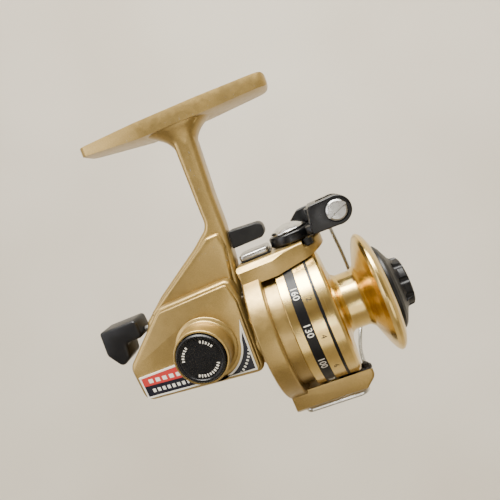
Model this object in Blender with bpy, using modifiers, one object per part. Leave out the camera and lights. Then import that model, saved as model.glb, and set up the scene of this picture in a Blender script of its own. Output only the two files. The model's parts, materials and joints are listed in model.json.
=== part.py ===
"""Small fixed-spool (spinning) fishing reel, built as an assembly.

Lengths are in millimetres and angles in degrees; MM turns them into metres once,
where a mesh or a place is made.  Everything is laid out in the shaft frame:
+X runs forward along the main shaft, +Z up to the foot, +Y to the handle side.
The world origin is the middle of the foot's top face.
"""
import math

import bmesh
import bpy
from mathutils import Matrix, Vector

MM = 0.001
GAP = 0.3                      # between two pieces that touch
ROUND = 36                     # steps round a large turned piece
SMALL = 18                     # steps round a small one

# --- driving dimensions, shaft frame ---------------------------------------------
FOOT_LENGTH = 55.8
FOOT_TILT = 2.7                # the foot's nose points down by this much
FOOT_CENTRE = (-7.4, 68.3)     # x, z of the middle of its top face
DRIVE = (-22.3, 5.1)           # x, z of the drive gear's axis
OSCILLATION = (-33.3, 5.1)     # x, z of the oscillation gear's axis
BAIL_X = 10.5                  # the bail swings about a vertical axis here
ROLLER = (24.2, 26.7)          # x, z of the line roller's axis
ROD_Z = 14.0                   # anti-reverse rod, along X
PAWL = (-8.5, 8.5)             # y, z of the anti-reverse pawl's pivot
PAWL_TIP = (-2.2, 9.9)         # and of its tip, lifted off the ratchet
FINGER_ANGLE = -76.0           # from the rod towards the pawl, in the y-z plane
FINGER_LENGTH = 4.8
PANEL_Y = -10.4                # face of the raised side panel
HOUSING_Y = (-9.4, 8.6)        # the casting's two sides
CAVITY_Y = -8.4                # inner face of the near wall
SHAFT_R = 1.6
CUP_R = 17.4                   # rotor cup, inside the spool skirt
SKIRT_R = 18.8                 # spool skirt
ARM_CLEAR_R = 19.3             # inside of the rotor arms
ARM_WIDTH = 20.0
ARM_TOP = 22.2
ARM_BOTTOM = -22.9
CRANK_LENGTH = 39.0
CRANK_ANGLE = -24.0            # the crank points forward and down at rest
CRANK_Y = (33.4, 36.2)
DRIVE_TEETH, PINION_TEETH = 40, 8
OSC_DRIVER_TEETH, OSC_TEETH, OSC_MODULE = 16, 24, 0.55
STROKE = 6.6                   # the spool's travel
RATCHET_TEETH = 12

HOUSING = [(-46.4, -4.5, 3.0), (-9.6, -7.6, 2.5), (-8.2, 14.2, 3.0), (-9.4, 20.6, 2.0),
           (-31.6, 20.0, 4.0), (-46.6, 6.8, 4.0)]
COVER_SCREWS = [(-43.0, -1.6), (-11.9, -4.6), (-33.0, 15.6)]
CREAM = (0.80, 0.78, 0.72)
GOLD = (0.42, 0.29, 0.12)
BRIGHT_GOLD = (0.72, 0.50, 0.16)
BLACK = (0.012, 0.012, 0.014)
STEEL = (0.62, 0.62, 0.62)
BRASS = (0.60, 0.43, 0.17)
GREY = (0.10, 0.10, 0.11)


# --- scene helpers ------------------------------------------------------------------
def collection(name):
    made = bpy.data.collections.new(name)
    bpy.context.scene.collection.children.link(made)
    return made


def finish(name, colour, roughness, metallic):
    """A Principled material for one sub-part."""
    made = bpy.data.materials.new(name)
    made.use_nodes = True
    shader = made.node_tree.nodes["Principled BSDF"]
    shader.inputs["Base Color"].default_value = (*colour, 1)
    shader.inputs["Roughness"].default_value = roughness
    shader.inputs["Metallic"].default_value = metallic
    return made


LOOKS = {
    "painted": (GOLD, 0.38, 0.6), "gold": (BRIGHT_GOLD, 0.16, 1.0), "black": (BLACK, 0.35, 0.0),
    "steel": (STEEL, 0.25, 1.0), "brass": (BRASS, 0.3, 1.0), "grey": (GREY, 0.5, 0.0),
    "felt": (CREAM, 0.9, 0.0), "label": ((0.02, 0.02, 0.03), 0.4, 0.0),
}


def place(name, data, look, at=(0, 0, 0), turn=(0, 0, 0), parent=None):
    """Make an object of mesh or curve data, in millimetres and degrees.

    A look of None makes a cutter.  The place is given in the shaft frame, also when the
    parent empty stands somewhere else in it.
    """
    made = bpy.data.objects.new(name, data)
    if look is None:
        cutters.objects.link(made)
        made.hide_render = True
        made.display_type = "WIRE"
    else:
        reel.objects.link(made)
        data.materials.clear()
        data.materials.append(finish(name, *LOOKS[look]))
    offset = Vector(parent["at"]) if parent else Vector()
    made.parent = parent or frame
    made.location = (Vector(at) - offset) * MM
    made.rotation_euler = [math.radians(angle) for angle in turn]
    return made


def pivot(name, at):
    """An empty on a joint's axis, in the shaft frame."""
    empty = bpy.data.objects.new(name, None)
    reel.objects.link(empty)
    empty.empty_display_size = 5 * MM
    empty.parent = frame
    empty.location = Vector(at) * MM
    empty["at"] = at
    return empty


def modify(made, kind, **settings):
    modifier = made.modifiers.new(kind.title(), kind)
    for key, value in settings.items():
        setattr(modifier, key, value)
    return modifier


# --- outlines -------------------------------------------------------------------------
def arc(centre, radius, start, end, steps):
    """Points on an arc, both ends included."""
    angles = [math.radians(start + (end - start) * i / steps) for i in range(steps + 1)]
    return [(centre[0] + radius * math.cos(a), centre[1] + radius * math.sin(a)) for a in angles]


def rounded(corners, steps=3):
    """An outline from (x, y, radius) corners, each one an arc of its radius."""
    outline = []
    for i, (x, y, radius) in enumerate(corners):
        here = Vector((x, y))
        back = (Vector(corners[i - 1][:2]) - here).normalized()
        ahead = (Vector(corners[(i + 1) % len(corners)][:2]) - here).normalized()
        if radius == 0:
            outline.append(here)
            continue
        half = back.angle(ahead) / 2
        reach = radius / math.tan(half)
        centre = here + (back + ahead).normalized() * (radius / math.sin(half))
        first = here + back * reach - centre
        last = here + ahead * reach - centre
        turn = first.angle_signed(last)
        for step in range(steps + 1):
            outline.append(centre + Matrix.Rotation(-turn * step / steps, 2) @ first)
    return [tuple(point) for point in outline]


def stadium(first, last, first_r, last_r, steps=14):
    """Two round ends of different radius joined by straight sides."""
    run = Vector(last) - Vector(first)
    heading = math.degrees(math.atan2(run.y, run.x))
    lean = math.degrees(math.acos((first_r - last_r) / run.length))
    return (arc(first, first_r, heading + lean, heading + 360 - lean, steps)
            + arc(last, last_r, heading - lean, heading + lean, steps))


def toothed(teeth, root, tip, root_share=0.62, tip_share=0.3, phase=0.0):
    """A gear's outline; the shares say how much of a pitch each tooth fills."""
    points = []
    for tooth in range(teeth):
        for share, radius in ((-root_share, root), (-tip_share, tip), (tip_share, tip), (root_share, root)):
            angle = 2 * math.pi * (tooth + phase + share / 2) / teeth
            points.append((radius * math.cos(angle), radius * math.sin(angle)))
    return points


# --- shapes ---------------------------------------------------------------------------
TURN_TO = {"X": (0, 90, 0), "Y": (-90, 0, 0), "Z": (0, 0, 0)}
FLAT_IN = {"XY": (0, 0, 0), "XZ": (90, 0, 0), "YZ": (90, 0, 90)}


def turned(name, look, profile, axis="X", at=(0, 0, 0), steps=SMALL, parent=None):
    """A turned solid from (place along the axis, radius) points.

    A profile that starts and ends at radius 0 is a solid, and any other one is a ring.
    """
    count = len(profile)
    area = sum(profile[i][1] * profile[(i + 1) % count][0] - profile[(i + 1) % count][1] * profile[i][0]
               for i in range(count))
    points = profile if area < 0 else profile[::-1]
    solid = points[0][1] == 0 and points[-1][1] == 0
    mesh = bpy.data.meshes.new(name)
    edges = [(i, i + 1) for i in range(count - 1)] + ([] if solid else [(count - 1, 0)])
    mesh.from_pydata([(radius * MM, 0, along * MM) for along, radius in points], edges, [])
    made = place(name, mesh, look, at, TURN_TO[axis], parent)
    modify(made, "SCREW", steps=steps, render_steps=steps, use_merge_vertices=True, merge_threshold=0.00001)
    return made


def ring(name, look, span, inner, outer, axis="X", at=(0, 0, 0), steps=SMALL, parent=None):
    low, high = span
    return turned(name, look, [(high, inner), (high, outer), (low, outer), (low, inner)], axis, at, steps, parent)


def rod(name, look, span, radius, axis="X", at=(0, 0, 0), steps=SMALL, parent=None):
    low, high = span
    return turned(name, look, [(high, 0), (high, radius), (low, radius), (low, 0)], axis, at, steps, parent)


def plate(name, look, outlines, span, plane="XZ", at=(0, 0, 0), parent=None, edge=0.0):
    """A flat piece from its outline and any holes in it, between two levels.

    span is along the plane's normal: Z for XY, Y for XZ and X for YZ.
    """
    curve = bpy.data.curves.new(name, "CURVE")
    curve.dimensions = "2D"
    curve.fill_mode = "BOTH"
    curve.extrude = ((span[1] - span[0]) / 2 - edge) * MM
    curve.bevel_depth = edge * MM
    curve.offset = -edge * MM
    curve.bevel_resolution = 0
    for outline in outlines:
        spline = curve.splines.new("POLY")
        spline.points.add(len(outline) - 1)
        for point, (u, v) in zip(spline.points, outline):
            point.co = (u * MM, v * MM, 0, 1)
        spline.use_cyclic_u = True
    middle = Vector({"XY": (0, 0, 1), "XZ": (0, 1, 0), "YZ": (1, 0, 0)}[plane]) * sum(span) / 2
    return place(name, curve, look, Vector(at) + middle, FLAT_IN[plane], parent)


def block(name, look, low, high, parent=None):
    """A box between two corners."""
    mesh = bpy.data.meshes.new(name)
    form = bmesh.new()
    bmesh.ops.create_cube(form, size=1)
    size = [(b - a) * MM for a, b in zip(low, high)]
    bmesh.ops.scale(form, vec=size, verts=form.verts)
    form.to_mesh(mesh)
    form.free()
    return place(name, mesh, look, [(a + b) / 2 for a, b in zip(low, high)], parent=parent)


def wire(name, look, route, radius, at=(0, 0, 0), parent=None, sides=2):
    """A round wire along a route of points."""
    curve = bpy.data.curves.new(name, "CURVE")
    curve.dimensions = "3D"
    curve.bevel_depth = radius * MM
    curve.bevel_resolution = sides
    curve.use_fill_caps = True
    spline = curve.splines.new("POLY")
    spline.points.add(len(route) - 1)
    for point, co in zip(spline.points, route):
        point.co = (*(Vector(co) * MM), 1)
    return place(name, curve, look, at, parent=parent)


def as_mesh(made):
    """Replace a curve or a modified object by its plain mesh, in the same place."""
    bpy.context.view_layer.update()
    graph = bpy.context.evaluated_depsgraph_get()
    mesh = bpy.data.meshes.new_from_object(made.evaluated_get(graph))
    form = bmesh.new()
    form.from_mesh(mesh)
    bmesh.ops.remove_doubles(form, verts=form.verts, dist=0.000002)
    form.to_mesh(mesh)
    form.free()
    name, home, parent, place_in = made.name, made.users_collection[0], made.parent, made.matrix_world.copy()
    hidden = made.hide_render
    bpy.data.objects.remove(made)
    plain = bpy.data.objects.new(name, mesh)
    home.objects.link(plain)
    plain.parent = parent
    plain.matrix_world = place_in
    plain.hide_render = hidden
    if hidden:
        plain.display_type = "WIRE"
    return plain


def combine(base, *others, operation="UNION"):
    """Join, cut or intersect a piece with others, which become cutters."""
    base = as_mesh(base)
    for other in others:
        tool = as_mesh(other)
        for home in tool.users_collection:
            home.objects.unlink(tool)
        cutters.objects.link(tool)
        tool.hide_render = True
        tool.display_type = "WIRE"
        modify(base, "BOOLEAN", operation=operation, object=tool, solver="EXACT")
    return base


def cut(base, *others):
    return combine(base, *others, operation="DIFFERENCE")


# --- the casting ------------------------------------------------------------------------
def inset(corners, by):
    """The outline's corners moved inwards, for walls and panels."""
    moved = []
    for i, (x, y, radius) in enumerate(corners):
        here = Vector((x, y))
        back = (here - Vector(corners[i - 1][:2])).normalized()
        ahead = (Vector(corners[(i + 1) % len(corners)][:2]) - here).normalized()
        half = (math.pi - back.angle(ahead)) / 2
        inward = (ahead - back).normalized()
        spot = here + inward * (by / math.sin(half))
        moved.append((spot.x, spot.y, max(radius - by, 0.4)))
    return moved


def foot():
    """The foot: its side view crossed with its plan, tilted on the stem."""
    half = FOOT_LENGTH / 2
    side = rounded([(-half, 0, 0.8), (-half, -2.2, 0.8), (-9, -4.6, 3.0), (-3.2, -9.0, 0.5), (3.2, -9.0, 0.5),
                    (8.5, -4.4, 3.0), (half, -3.6, 1.4), (half, 0, 1.2)])
    plan = rounded([(-half, -3.8, 3.0), (-9, -6.0, 8), (9, -6.0, 8), (half, -4.6, 3.8),
                    (half, 4.6, 3.8), (9, 6.0, 8), (-9, 6.0, 8), (-half, 3.8, 3.0)])
    centre = Matrix.Translation(Vector((FOOT_CENTRE[0], 0, FOOT_CENTRE[1])) * MM)
    tilt = centre @ Matrix.Rotation(math.radians(FOOT_TILT), 4, "Y")
    sheet = plate("foot_side", "painted", [side], (-7, 7))
    outline = plate("foot_plan", "painted", [plan], (-12, 2), "XY")
    bpy.context.view_layer.update()
    for piece in (sheet, outline):
        piece.matrix_local = tilt @ piece.matrix_local
    return combine(sheet, outline, operation="INTERSECT")


def reel_body():
    """Foot, stem and gear housing in one casting, open on the handle side."""
    x, z = DRIVE
    housing = plate("reel_body", "painted", [rounded(HOUSING)], HOUSING_Y, edge=0.6)
    panel = plate("panel", "painted", [rounded(inset(HOUSING, 1.0))], (PANEL_Y, -9.0), edge=0.4)
    web = plate("web", "painted", [rounded([(-9.2, 18, 0), (-7.0, 28.6, 1), (-7.6, 33, 1), (-11.4, 33, 2),
                                            (-35.5, 18.6, 1), (-33, 14, 0)])], (-5.8, 5.8), edge=0.6)
    stem = plate("stem", "painted", [rounded([(-8.6, 13, 0), (-6.6, 24, 2), (-5.3, 35, 9), (-4.9, 43, 9),
                                              (-2.8, 65.5, 0), (-9.3, 65.5, 0), (-10.3, 43, 9),
                                              (-10.5, 35.6, 4), (-16.4, 31.2, 9), (-31.4, 22.0, 9),
                                              (-38.6, 16.4, 2), (-40.2, 13.2, 1.4), (-34, 11, 0)])],
                 (-3.8, 3.8), edge=0.8)
    nose = rod("nose", "painted", (-9.8, -1.0), 9.0, steps=ROUND)
    boss = turned("boss", "painted", [(-9.0, 0), (-9.0, 8.9), (-10.8, 8.9), (-11.2, 8.0), (-12.0, 7.6),
                                      (-17.3, 7.6), (-17.3, 0)], "Y", (x, 0, z), ROUND)
    posts = [rod(f"post_{i}", "painted", (4.2, HOUSING_Y[1]), 2.4, "Y", (px, 0, pz))
             for i, (px, pz) in enumerate(COVER_SCREWS)]
    cavity = plate("cavity", None, [rounded(inset(HOUSING, 1.6))], (CAVITY_Y, HOUSING_Y[1] + 2))
    front_bore = turned("front_bore", None, [(0.5, 0), (0.5, 6.4), (-5.0, 6.4), (-5.0, 4.4), (-12, 4.4),
                                             (-12, 0)], steps=ROUND)
    side_bore = turned("side_bore", None, [(-7, 0), (-7, 4.0), (-13.4, 4.0), (-13.4, 7.0), (-18, 7.0),
                                           (-18, 0)], "Y", (x, 0, z), ROUND)
    rod_hole = rod("rod_hole", None, (-50, 0), 1.5, at=(0, 0, ROD_Z), steps=16)
    screw_holes = [rod(f"hole_{i}", None, (5.0, 12), 1.15, "Y", (px, 0, pz), 16)
                   for i, (px, pz) in enumerate(COVER_SCREWS)]
    body = combine(housing, panel, web, stem, foot())
    body = cut(body, cavity)
    body = combine(body, nose, boss, *posts)
    return cut(body, front_bore, side_bore, rod_hole, *screw_holes)


# --- fixed pieces -------------------------------------------------------------------------
def side_cover():
    """The plate that closes the gear housing, with the far shaft boss."""
    x, z = DRIVE
    low, high = HOUSING_Y[1] + GAP, HOUSING_Y[1] + 1.9
    cover = plate("side_cover", "painted", [rounded(inset(HOUSING, 0.3))], (low, high), edge=0.4)
    boss = turned("far_boss", "painted", [(high - 0.6, 0), (high - 0.6, 8.4), (high + 0.4, 7.6),
                                          (14.0, 7.2), (14.0, 0)], "Y", (x, 0, z), ROUND)
    holes = [rod(f"cover_hole_{i}", None, (5, 14), 1.15, "Y", (px, 0, pz), 16)
             for i, (px, pz) in enumerate(COVER_SCREWS)]
    cover = combine(cover, boss)
    cut(cover, rod("far_bush_seat", None, (6, 16), 4.0, "Y", (x, 0, z), ROUND), *holes)
    for i, (px, pz) in enumerate(COVER_SCREWS):
        screw = turned(f"cover_screw_{i + 1}", "steel",
                       [(5.4, 0), (5.4, 0.85), (high + GAP, 0.85), (high + GAP, 2.0), (high + 0.9, 1.9),
                        (high + 1.2, 1.4), (high + 1.2, 0)], "Y", (px, 0, pz), 16)
        slot_low, slot_high = (px - 2.5, high + 0.8, pz - 0.25), (px + 2.5, high + 2, pz + 0.25)
        cut(screw, block(f"screw_slot_{i}", None, slot_low, slot_high))


def label_plate():
    """Thin plate on the lower panel, its top edge hollow round the boss."""
    sweep = arc(DRIVE, 9.8, 188, 352, 16)
    outline = [(-44.4, -3.0), (-44.4, 3.7)] + sweep + [(-10.4, 9.4), (-11.3, -5.6)]
    plate("label_plate", "label", [outline], (PANEL_Y - GAP - 0.3, PANEL_Y - GAP))


def fixed_fittings():
    x, z = DRIVE
    turned("blank_cap", "black", [(-18.1, 0), (-18.1, 6.3), (-17.7, 6.7), (-13.8, 6.7), (-13.8, 5.2),
                                  (-15.8, 5.2), (-15.8, 0)], "Y", (x, 0, z), ROUND)
    ring("near_bush", "brass", (-12.9, -8.8), 2.95, 3.7, "Y", (x, 0, z))
    ring("far_bush", "brass", (9.2, 13.7), 2.95, 3.7, "Y", (x, 0, z))
    ring("pinion_bearing", "steel", (-4.7, -1.9), 4.35, 6.1)
    ring("bearing_clip", "steel", (-1.6, -1.1), 5.0, 6.1)
    rod("oscillation_post", "steel", (CAVITY_Y + GAP, -5.5), 1.2, "Y", (OSCILLATION[0], 0, OSCILLATION[1]))
    rod("guide_rod", "steel", (-42.2, -27.1), 0.9, at=(0, 0, 7.6), steps=16)
    rod("pawl_post", "steel", (-7.9, 3.2), 1.0, at=(0, *PAWL), steps=16)
    bumper = rounded([(-5.8, 26.9, 0), (4.4, 26.9, 1.8), (4.4, 31.2, 1.8), (-5.2, 32.0, 0)])
    plate("trip_bumper", "black", [bumper], (-3.3, 3.3), edge=0.6)


# --- crank ----------------------------------------------------------------------------------
def drive_gear(axis):
    """Face gear: skewed teeth stand on the rim of a disc and reach the pinion."""
    back, web, root, tip = 6.2, 4.7, 3.9, 3.0
    bore, hub, inner, outer = 2.9, 4.2, 7.3, 9.4
    skew = math.radians(-6.0)
    mesh = bpy.data.meshes.new("drive_gear")
    form = bmesh.new()
    loops = []
    for tooth in range(DRIVE_TEETH):
        for share, height in ((-0.60, root), (-0.24, tip), (0.24, tip), (0.60, root)):
            angle = 2 * math.pi * (tooth + share / 2) / DRIVE_TEETH
            section = [(bore, back, 0), (outer, back, 0), (outer, height, skew / 2), (inner, height, -skew / 2),
                       (bore, web, 0)]
            loops.append([form.verts.new((radius * math.cos(angle + lead) * MM, y * MM,
                                          radius * math.sin(angle + lead) * MM))
                          for radius, y, lead in section])
    for first, last in zip(loops, loops[1:] + loops[:1]):
        for i in range(len(first)):
            j = (i + 1) % len(first)
            form.faces.new((first[i], first[j], last[j], last[i]))
    bmesh.ops.recalc_face_normals(form, faces=form.faces)
    form.to_mesh(mesh)
    form.free()
    return place("drive_gear", mesh, "brass", (DRIVE[0], 0, DRIVE[1]), parent=axis)


def crank():
    x, z = DRIVE
    axis = pivot("crank_axis", (x, 0, z))
    drive_gear(axis)
    ring("drive_shaft", "steel", (-12.6, 20.4), 1.35, 2.6, "Y", (x, 0, z), parent=axis)
    root_r = OSC_MODULE * OSC_DRIVER_TEETH / 2 - 0.65
    driver = toothed(OSC_DRIVER_TEETH, root_r, root_r + 1.1, 0.5, 0.24)
    hole = arc((0, 0), 2.9, 0, 345, 23)
    plate("oscillation_driver", "brass", [driver, hole], (-7.5, -5.9), at=(x, 0, z), parent=axis)
    turned("crank_hub", "black", [(14.4, 2.95), (14.4, 5.2), (16, 5.4), (17, 4.4), (30, 3.9), (31, 4.6),
                                  (33.1, 4.6), (33.1, 1.4), (20.8, 1.4), (20.8, 2.95)],
           "Y", (x, 0, z), parent=axis)
    turned("crank_screw", "steel", [(-14.9, 0), (-14.9, 2.1), (-12.9, 2.4), (-12.9, 1.0), (30, 1.0), (30, 0)],
           "Y", (x, 0, z), parent=axis)
    heading = math.radians(CRANK_ANGLE)
    tip = (x + CRANK_LENGTH * math.cos(heading), z + CRANK_LENGTH * math.sin(heading))
    hole = arc(tip, 1.9, 0, 345, 23)
    outline = stadium((x, z), tip, 5.2, 4.0)
    plate("crank_arm", "steel", [outline, hole], CRANK_Y, edge=0.5, parent=axis)
    rivet = [(32.2, 0), (32.2, 2.6), (33.1, 3.0), (33.1, 1.6), (58.2, 1.6), (58.2, 2.3), (59.0, 1.8), (59.0, 0)]
    turned("knob_spindle", "steel", rivet, "Y", (tip[0], 0, tip[1]), parent=axis)
    grip = pivot("knob_axis", (tip[0], 0, tip[1]))
    turned("handle_knob", "black", [(36.6, 1.95), (36.6, 3.6), (38, 4.2), (44, 5.0), (50, 6.0), (55, 6.4),
                                    (57.4, 5.6), (57.9, 4.6), (57.9, 1.95)], "Y", (tip[0], 0, tip[1]),
           32, parent=grip)


def oscillation():
    """Driven gear that carries the eccentric pin of the spool's travel."""
    x, z = OSCILLATION
    axis = pivot("oscillation_axis", (x, 0, z))
    root_r = OSC_MODULE * OSC_TEETH / 2 - 0.65
    wheel = toothed(OSC_TEETH, root_r, root_r + 1.1, 0.5, 0.24, 0.5)
    gear = plate("oscillation_gear", "brass", [wheel], (-7.5, -6.0), at=(x, 0, z), parent=axis)
    pin = rod("eccentric_pin", "brass", (-6.8, -5.4), 1.1, "Y", (x - STROKE / 2, 0, z), 16, axis)
    gear = combine(gear, pin)
    cut(gear, rod("oscillation_bore", None, (-9, -4), 1.5, "Y", (x, 0, z), 16, axis))


# --- rotor --------------------------------------------------------------------------------------
def arm_block(name, low, high):
    """One rotor arm, cut to its plan, before it is hollowed to clear the skirt."""
    half = ARM_WIDTH / 2
    nose = arc((BAIL_X - 0.4, 0), 8.3, -78, 78, 12)
    plan = [(-6.3, -half), (4.0, -half)] + nose + [(4.0, half), (-6.3, half)]
    return plate(name, "painted", [plan], (low, high), "XY", edge=0.5)


def rotor():
    cup = turned("rotor", "painted", [
        (-6.3, 18.6), (-6.3, 19.7), (-5.9, 20.2), (-1.5, 20.2), (-1.1, 19.8), (-1.1, CUP_R), (10.6, CUP_R),
        (12.0, 16.0), (12.0, 7.6), (13.6, 7.2), (13.6, 3.75), (6.0, 3.75), (6.0, 7.0), (10.4, 8.2),
        (10.4, 15.2), (9.6, 15.9), (-0.6, 15.9), (-2.4, 18.6)], steps=ROUND)
    upper = arm_block("upper_arm", 12, ARM_TOP)
    lower_side = rounded([(-6.3, -12, 0), (-6.3, -22.6, 0.8), (13.5, ARM_BOTTOM, 4.5), (17.6, -19, 2.5),
                          (17.6, -12, 0)])
    lower = plate("lower_arm", "painted", [lower_side], (-ARM_WIDTH / 2, ARM_WIDTH / 2), edge=0.5)
    chamfers = []
    for side in (-1, 1):
        for level in (ARM_TOP, ARM_BOTTOM):
            wedge = block(f"bevel_{side}_{level}", None, (-8, -3, -3), (22, 3, 3))
            wedge.rotation_euler = (math.radians(45), 0, 0)
            wedge.location = Vector((7, side * 11.6, level + math.copysign(1.2, level))) * MM
            chamfers.append(wedge)
    clear_profile = [(30, 0), (30, ARM_CLEAR_R), (-1.2, ARM_CLEAR_R), (-1.2, 19.0), (-9, 19.0), (-9, 0)]
    clear, clear_low = [turned(f"skirt_clearance_{i}", None, clear_profile, steps=ROUND) for i in (1, 2)]
    trough = block("lower_trough", None, (4.2, -8.9, -21.6), (20, 8.9, -10))
    wire_way = block("wire_way", None, (12.5, 5.0, -21.6), (20, 11, -10))
    notch = block("buffer_notch", None, (12.8, -11, 20.4), (16.2, -4.4, 24))
    pocket = rod("spring_pocket", None, (20.7, 24), 5.5, "Z", (BAIL_X, 0, 0), 32)
    pin_hole = rod("pivot_hole", None, (19.6, 24), 1.9, "Z", (BAIL_X, 0, 0), 16)
    low_hole = rod("lower_hole", None, (-22.4, -18), 1.4, "Z", (BAIL_X, 0, 0), 16)
    upper = cut(upper, *chamfers[0::2], clear, notch, pocket, pin_hole)
    lower = cut(lower, *chamfers[1::2], clear_low, trough, wire_way, low_hole)
    combine(cup, upper, lower)


def rotor_fittings():
    """The covers, nut, ratchet, pinion and bail pivots that turn with the rotor."""
    x = BAIL_X
    axis = pivot("rotor_axis", (0, 0, 0))
    top = rounded([(-5.2, -4.5, 1.5), (3.5, -4.5, 0.8), (3.5, 4.5, 0.8), (-5.2, 4.5, 1.5)], 3)
    plate("upper_arm_cover", "steel", [top], (ARM_TOP + GAP, 24.3), "XY", parent=axis, edge=0.5)
    low = rounded([(-4.0, -9.0, 2), (15.0, -9.0, 3), (15.0, 9.0, 3), (-4.0, 9.0, 2)])
    plate("lower_arm_cover", "steel", [low], (ARM_BOTTOM - GAP - 0.9, ARM_BOTTOM - GAP), "XY",
          parent=axis, edge=0.3)
    nut = [arc((0, 0), 6.2, 0, 300, 5), arc((0, 0), 3.75, 0, 345, 23)]
    plate("rotor_nut", "steel", nut, (13.9, 15.9), "YZ", parent=axis)
    teeth = []
    for tooth in range(RATCHET_TEETH):
        start = 2 * math.pi * (tooth + 0.1) / RATCHET_TEETH
        for share, radius in ((0.0, 8.6), (0.12, 8.4), (0.2, 7.2)):
            angle = start + 2 * math.pi * share / RATCHET_TEETH
            teeth.append((radius * math.cos(angle), radius * math.sin(angle)))
    hole = arc((0, 0), 3.75, 0, 345, 23)
    plate("ratchet_wheel", "steel", [teeth, hole], (1.4, 2.8), "YZ", parent=axis)
    pinion(axis)
    ring("pivot_bush", "brass", (20.9, 25.2), 1.9, 2.5, "Z", (x, 0, 0), parent=axis)
    turned("pivot_screw", "steel", [(27.7, 0), (27.5, 2.0), (26.8, 4.2), (26.0, 5.3), (25.75, 5.3),
                                    (25.75, 1.6), (19.9, 1.6), (19.9, 0)], "Z", (x, 0, 0), 32, axis)
    turned("lower_pivot_screw", "steel", [(-19.5, 0), (-19.5, 1.7), (-20.0, 2.0), (-20.0, 1.1), (-22.1, 1.1),
                                          (-22.1, 0)], "Z", (x, 0, 0), 16, axis)
    coil = [(4.2 * math.cos(a), 4.2 * math.sin(a), 21.1 + 0.9 * a / (5 * math.pi))
            for a in (2 * math.pi * i / 10 for i in range(26))]
    wire("bail_spring", "steel", coil, 0.14, (x, 0, 0), axis)
    rod("stop_buffer", "grey", (20.7, 22.3), 1.2, "Z", (14.6, -6.4, 0), 20, axis)


def pinion(axis):
    """Helical pinion and its sleeve, which carries ratchet, rotor and nut."""
    root_r, tip_r, length, lead = 2.75, 3.35, 3.4, 11.1
    outline = toothed(PINION_TEETH, root_r, tip_r, 0.42, 0.16, 0.61)
    mesh = bpy.data.meshes.new("pinion_gear")
    form = bmesh.new()
    face = form.faces.new([form.verts.new((0, u * MM, v * MM)) for u, v in outline])
    spun = [face] + list(face.verts) + list(face.edges)
    bmesh.ops.spin(form, geom=spun, cent=(0, 0, 0), axis=(1, 0, 0), dvec=(length * MM / 5, 0, 0),
                   angle=-2 * math.pi * length / lead, steps=5, use_duplicate=False)
    bmesh.ops.recalc_face_normals(form, faces=form.faces)
    form.to_mesh(mesh)
    form.free()
    gear = place("pinion_gear", mesh, "brass", (-17.0, 0, 0), parent=axis)
    sleeve = turned("sleeve", "brass", [(15.6, 0), (15.6, 3.4), (-0.9, 3.4), (-1.4, 4.0), (-13.0, 4.0),
                                        (-13.8, 2.7), (-16.6, 2.7), (-16.6, 0)], steps=32)
    gear = combine(gear, sleeve)
    cut(gear, rod("pinion_way", None, (-20, 20), 2.0, steps=SMALL))


# --- bail ------------------------------------------------------------------------------------------
def bail_route(steps=32):
    """The bail wire's centre line, a squarish half loop that clears the spool when it swings."""
    top_z, low_z = 25.3, -20.5
    middle, reach = (top_z + low_z) / 2, (top_z - low_z) / 2
    route = []
    for i in range(steps + 1):
        t = math.pi * i / steps
        bow, rise = abs(math.sin(t)), math.cos(t)
        share = (1 - rise) / 2
        end_x, end_y = 22.4 + (16.2 - 22.4) * share, 1.5 + 0.4 * share
        route.append((end_x + (23.4 - end_x) * bow ** 2, end_y + (24.6 - end_y) * bow ** 0.7,
                      middle + reach * math.copysign(abs(rise) ** 0.75, rise)))
    return route


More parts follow.
